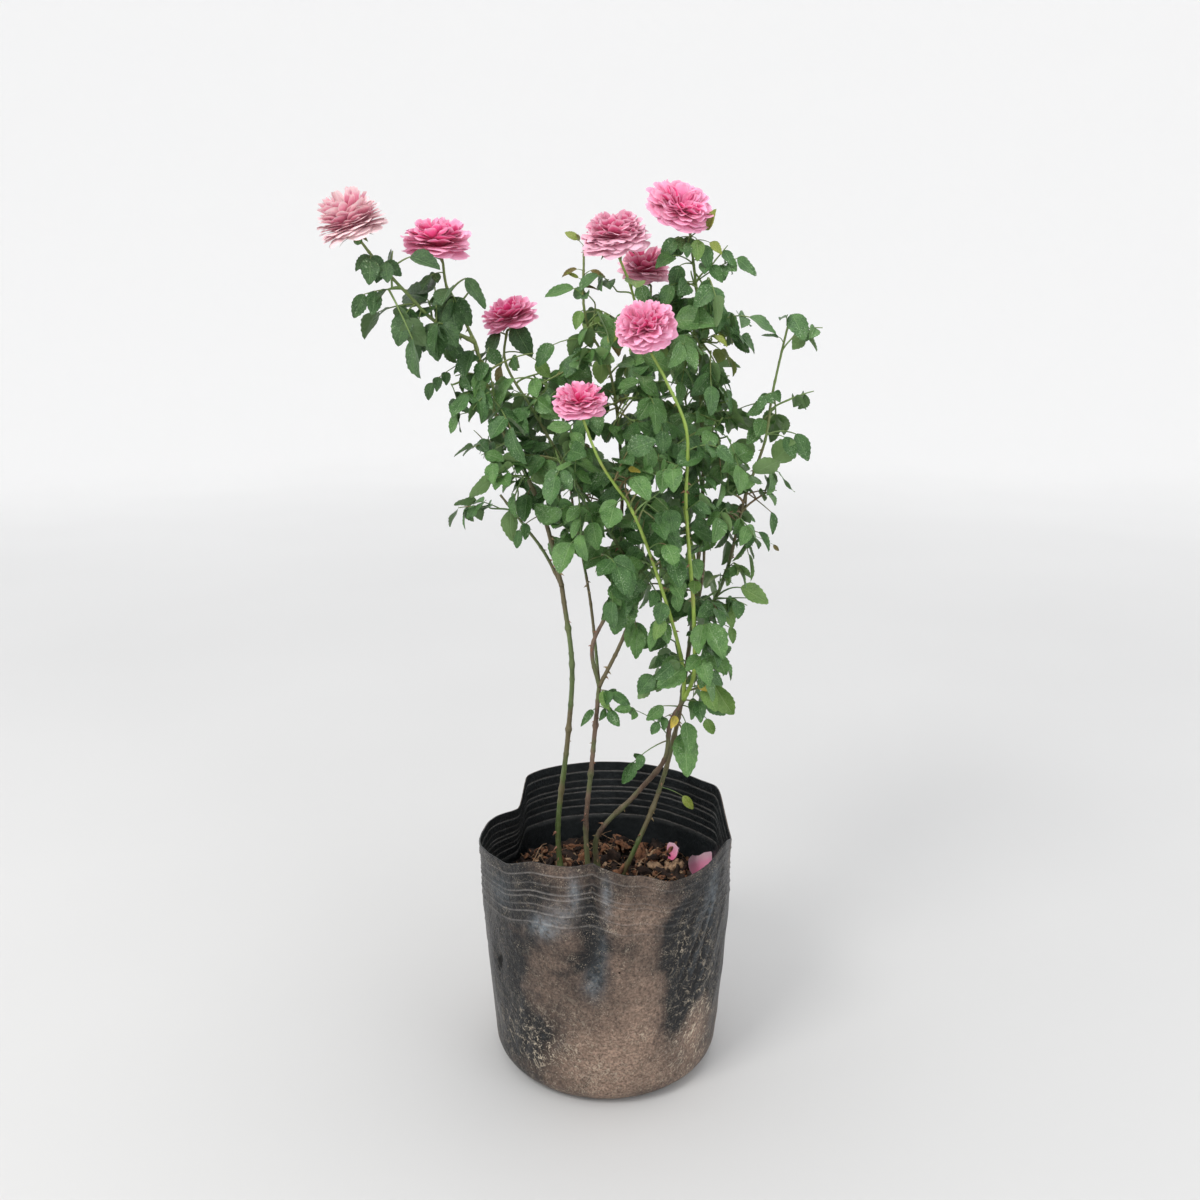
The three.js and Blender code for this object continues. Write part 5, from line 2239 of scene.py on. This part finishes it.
    def _clear(self, at: Array, way: Array, face: Array, size: float, placed: bool) -> bool:
        """Tell whether a leaflet is in bounds and hides no bloom or kept stem.

        Args:
            at: Where it springs from.
            way: Unit vector along it.
            face: Unit vector out of its upper face.
            size: Its length.
            placed: Whether it is listed as a spray, which only keeps it in bounds.

        Returns:
            True if it may grow there.
        """
        side = np.cross(way, face) * 0.3 * size
        foot, point, tip = at + way * size * 0.2, at + way * size * 0.6, at + way * size
        spots = np.array([foot, tip, point, point + side, point - side])
        if (spots < self.low).any() or (spots > self.high).any():
            return False
        if placed:
            return True
        if self.sight.hides(spots, self.kept):
            return False
        for plan in BLOOMS:
            off = point - plan.centre
            radius = plan.radius * MM
            if np.linalg.norm(off) < radius + self.bloom_gap:
                return False
            ahead = float(off @ plan.axes[:, 2])
            seen = off[1] < 0.01 and math.hypot(off[0], off[2] - 0.05 * off[1]) < radius + 0.008
            if seen or (ahead > 0 and np.linalg.norm(off - plan.axes[:, 2] * ahead) < radius):
                return False
        return True

    def _set_spray(self, spray: Spray, rng: Random) -> None:
        """Grow one listed leaf.

        Args:
            spray: Its plan.
            rng: The random source.
        """
        base = LIMB_BY_NAME[spray.limb].spine.at(spray.share)
        reach = mm(spray.reach)
        scale = spray.leaflet * MM / (1.16 * self.leaflet_length)
        self._compound(base, unit(reach), float(np.linalg.norm(reach)), spray.pairs, spray.hang,
                       spray.tint, scale, rng, spray.wide)

    def _leaf(self, base: Array, heading: Array, tint: Tint, rng: Random,
              scale: float = 1.0) -> None:
        """Grow one compound leaf of random size.

        Args:
            base: Where it springs from.
            heading: The way it sets out.
            tint: Its tint.
            rng: The random source.
            scale: Factor on its size.
        """
        young = tint in (Tint.YOUNG, Tint.BRONZE)
        scale = scale * rng.uniform(0.84, 1.16) * (0.75 if young else 1.0)
        pairs = 1 if rng.random() < 0.3 else 2
        length = (0.018 + 0.013 * pairs) * scale
        self._compound(base, heading, length, pairs, rng.uniform(0.2, 1.3), tint, scale, rng)

    def _compound(self, base: Array, heading: Array, length: float, pairs: int, hang: float,
                  tint: Tint, scale: float, rng: Random, placed: float = 0.0) -> None:
        """Grow an arching stalk, pairs of leaflets and one at its tip.

        Args:
            base: Where it springs from.
            heading: The way it sets out.
            length: Length of the stalk.
            pairs: Number of leaflet pairs.
            hang: How far the leaflets turn down.
            tint: Its tint.
            scale: Factor on the leaflets' size.
            rng: The random source.
            placed: How wide its leaflets are if it is listed as a spray, otherwise 0.
        """
        s = np.linspace(0, 1, 7)[:, None]
        sag = rng.uniform(0.10, 0.42)
        path = base + heading * length * s + DOWN * sag * length * s ** 2
        path = path + across(rng.normal(size=3), heading) * 0.08 * length * s ** 2
        gap = min(0.45 * self.leaflet_length * scale / length, 0.33)
        ends = [(1.0 - gap * (k + 1), side) for k in range(pairs) for side in (-1.0, 1.0)]
        spots = []
        ahead_all = unit(np.gradient(path, axis=0))
        outward = unit(np.array([base[0] - 0.02, base[1] - 0.03, 0.0]) + 1e-5)
        for place, side in ends + [(1.0, 0.0)]:
            row = place * (len(path) - 1)
            at = np.array([np.interp(row, range(len(path)), path[:, i]) for i in range(3)])
            ahead = ahead_all[int(round(row))]
            level = np.cross(ahead, UP)
            level = unit(level) if np.linalg.norm(level) > 0.15 else unit(np.cross(ahead, outward))
            way = ahead * (0.45 if side else 1.0) + level * side
            way = unit(unit(way) + DOWN * hang * rng.uniform(0.7, 1.2) + rng.normal(size=3) * 0.13)
            face = UP * 0.75 + outward * rng.uniform(0.3, 1.1) + rng.normal(size=3) * 0.30
            if placed:
                face = UP * 0.60 + FRONT * 0.8 + rng.normal(size=3) * 0.32
            face = across(face, way)
            size = self.leaflet_length * scale * rng.uniform(0.88, 1.12)
            size *= 1.16 if not side else (0.95 if place > 1.0 - 1.5 * gap else 0.80)
            spots.append((at, way, face, size))
        kept = [spot for spot in spots if self._clear(*spot, placed > 0)]
        if len(kept) < min(2, len(spots)):
            return
        self.stalks.tube(path, np.linspace(0.0011, 0.0006, 7) * scale, 4)
        tone = rng.uniform(0, 1)
        for at, way, face, size in kept:
            width = size * rng.uniform(0.90, 1.12) * (placed or 1.0)
            axes = np.stack([np.cross(way, face) * width, way * size, face * size], -1)
            shape = self.shapes[rng.integers(len(self.shapes))]
            self.leaves[tint].place(shape, at, axes, tone)


# ---- Stage ----


@dataclass(frozen=True)
class Lamp:
    """A soft square light."""

    name: str
    at: Point
    aim: Point
    size: float
    power: float
    colour: Colour = (1.0, 1.0, 1.0)

    def build(self) -> None:
        """Add the lamp to the scene."""
        data = bpy.data.lights.new(self.name, "AREA")
        data.shape, data.size = "SQUARE", self.size
        data.energy, data.color = self.power, self.colour
        lamp = bpy.data.objects.new(self.name, data)
        lamp.location = self.at
        aim = Vector(self.aim) - Vector(self.at)
        lamp.rotation_euler = aim.to_track_quat("-Z", "Y").to_euler()
        bpy.context.scene.collection.objects.link(lamp)


@dataclass(frozen=True)
class Studio:
    """The camera, the lights and the pale floor, which curves up into walls far out."""

    camera_at: Point = EYE
    pitch: float = PITCH
    lens: float = 34.5
    sensor: float = 36.0
    floor_radius: float = 5.0
    cove: float = 3.0
    wall: float = 4.5
    daylight: float = 0.84
    lamps: tuple[Lamp, ...] = (
        Lamp("key", (-1.5, -1.7, 2.7), (0.0, 0.0, 0.6), 1.1, 46.0, (1.0, 0.985, 0.955)),
        Lamp("fill", (2.0, -1.6, 1.3), (0.0, 0.0, 0.6), 1.6, 10.0, (0.96, 0.98, 1.0)),
        Lamp("top", (0.3, 0.5, 3.0), (0.0, 0.0, 0.6), 1.8, 15.0),
    )

    def build(self) -> None:
        """Build the stage."""
        data = bpy.data.cameras.new("camera")
        data.lens, data.sensor_width, data.sensor_fit = self.lens, self.sensor, "AUTO"
        camera = bpy.data.objects.new("camera", data)
        camera.location = self.camera_at
        camera.rotation_euler = (math.radians(90.0 - self.pitch), 0.0, 0.0)
        scene = bpy.context.scene
        scene.collection.objects.link(camera)
        scene.camera = camera
        scene.view_settings.view_transform = "Standard"
        for lamp in self.lamps:
            lamp.build()
        world = bpy.data.worlds.new("soft_grey")
        world.use_nodes = True
        background = world.node_tree.nodes["Background"]
        background.inputs["Color"].default_value = (0.985, 0.99, 1.0, 1.0)
        background.inputs["Strength"].default_value = self.daylight
        scene.world = world
        self._floor()

    def _floor(self) -> None:
        """Spin the floor and its walls from one profile."""
        turns = np.linspace(0.0, math.pi / 2, 12)
        profile = [(r, 0.0) for r in np.linspace(0.0, self.floor_radius, 9)]
        profile += [(self.floor_radius + self.cove * math.sin(t), self.cove * (1 - math.cos(t)))
                    for t in turns[1:]]
        profile.append((self.floor_radius + self.cove, self.wall))
        floor = from_bmesh("floor", spin(profile, 96))
        floor.data.materials.append(FloorFinish().build())
        floor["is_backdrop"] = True


# ---- Assembly ----


def main() -> None:
    """Build the bush piece by piece round the frame."""
    logging.basicConfig(level=logging.INFO, format="%(name)s %(message)s")
    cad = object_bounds()
    low, high = (np.array(corner, float) for corner in cad)
    bag = Bag()
    bag.build()
    Soil(bag).build()
    Canes().build()
    Blossom().build()
    Crown(low - LEAF_REACH, high + LEAF_REACH).build()
    Studio().build()


if __name__ == "__main__":
    main()
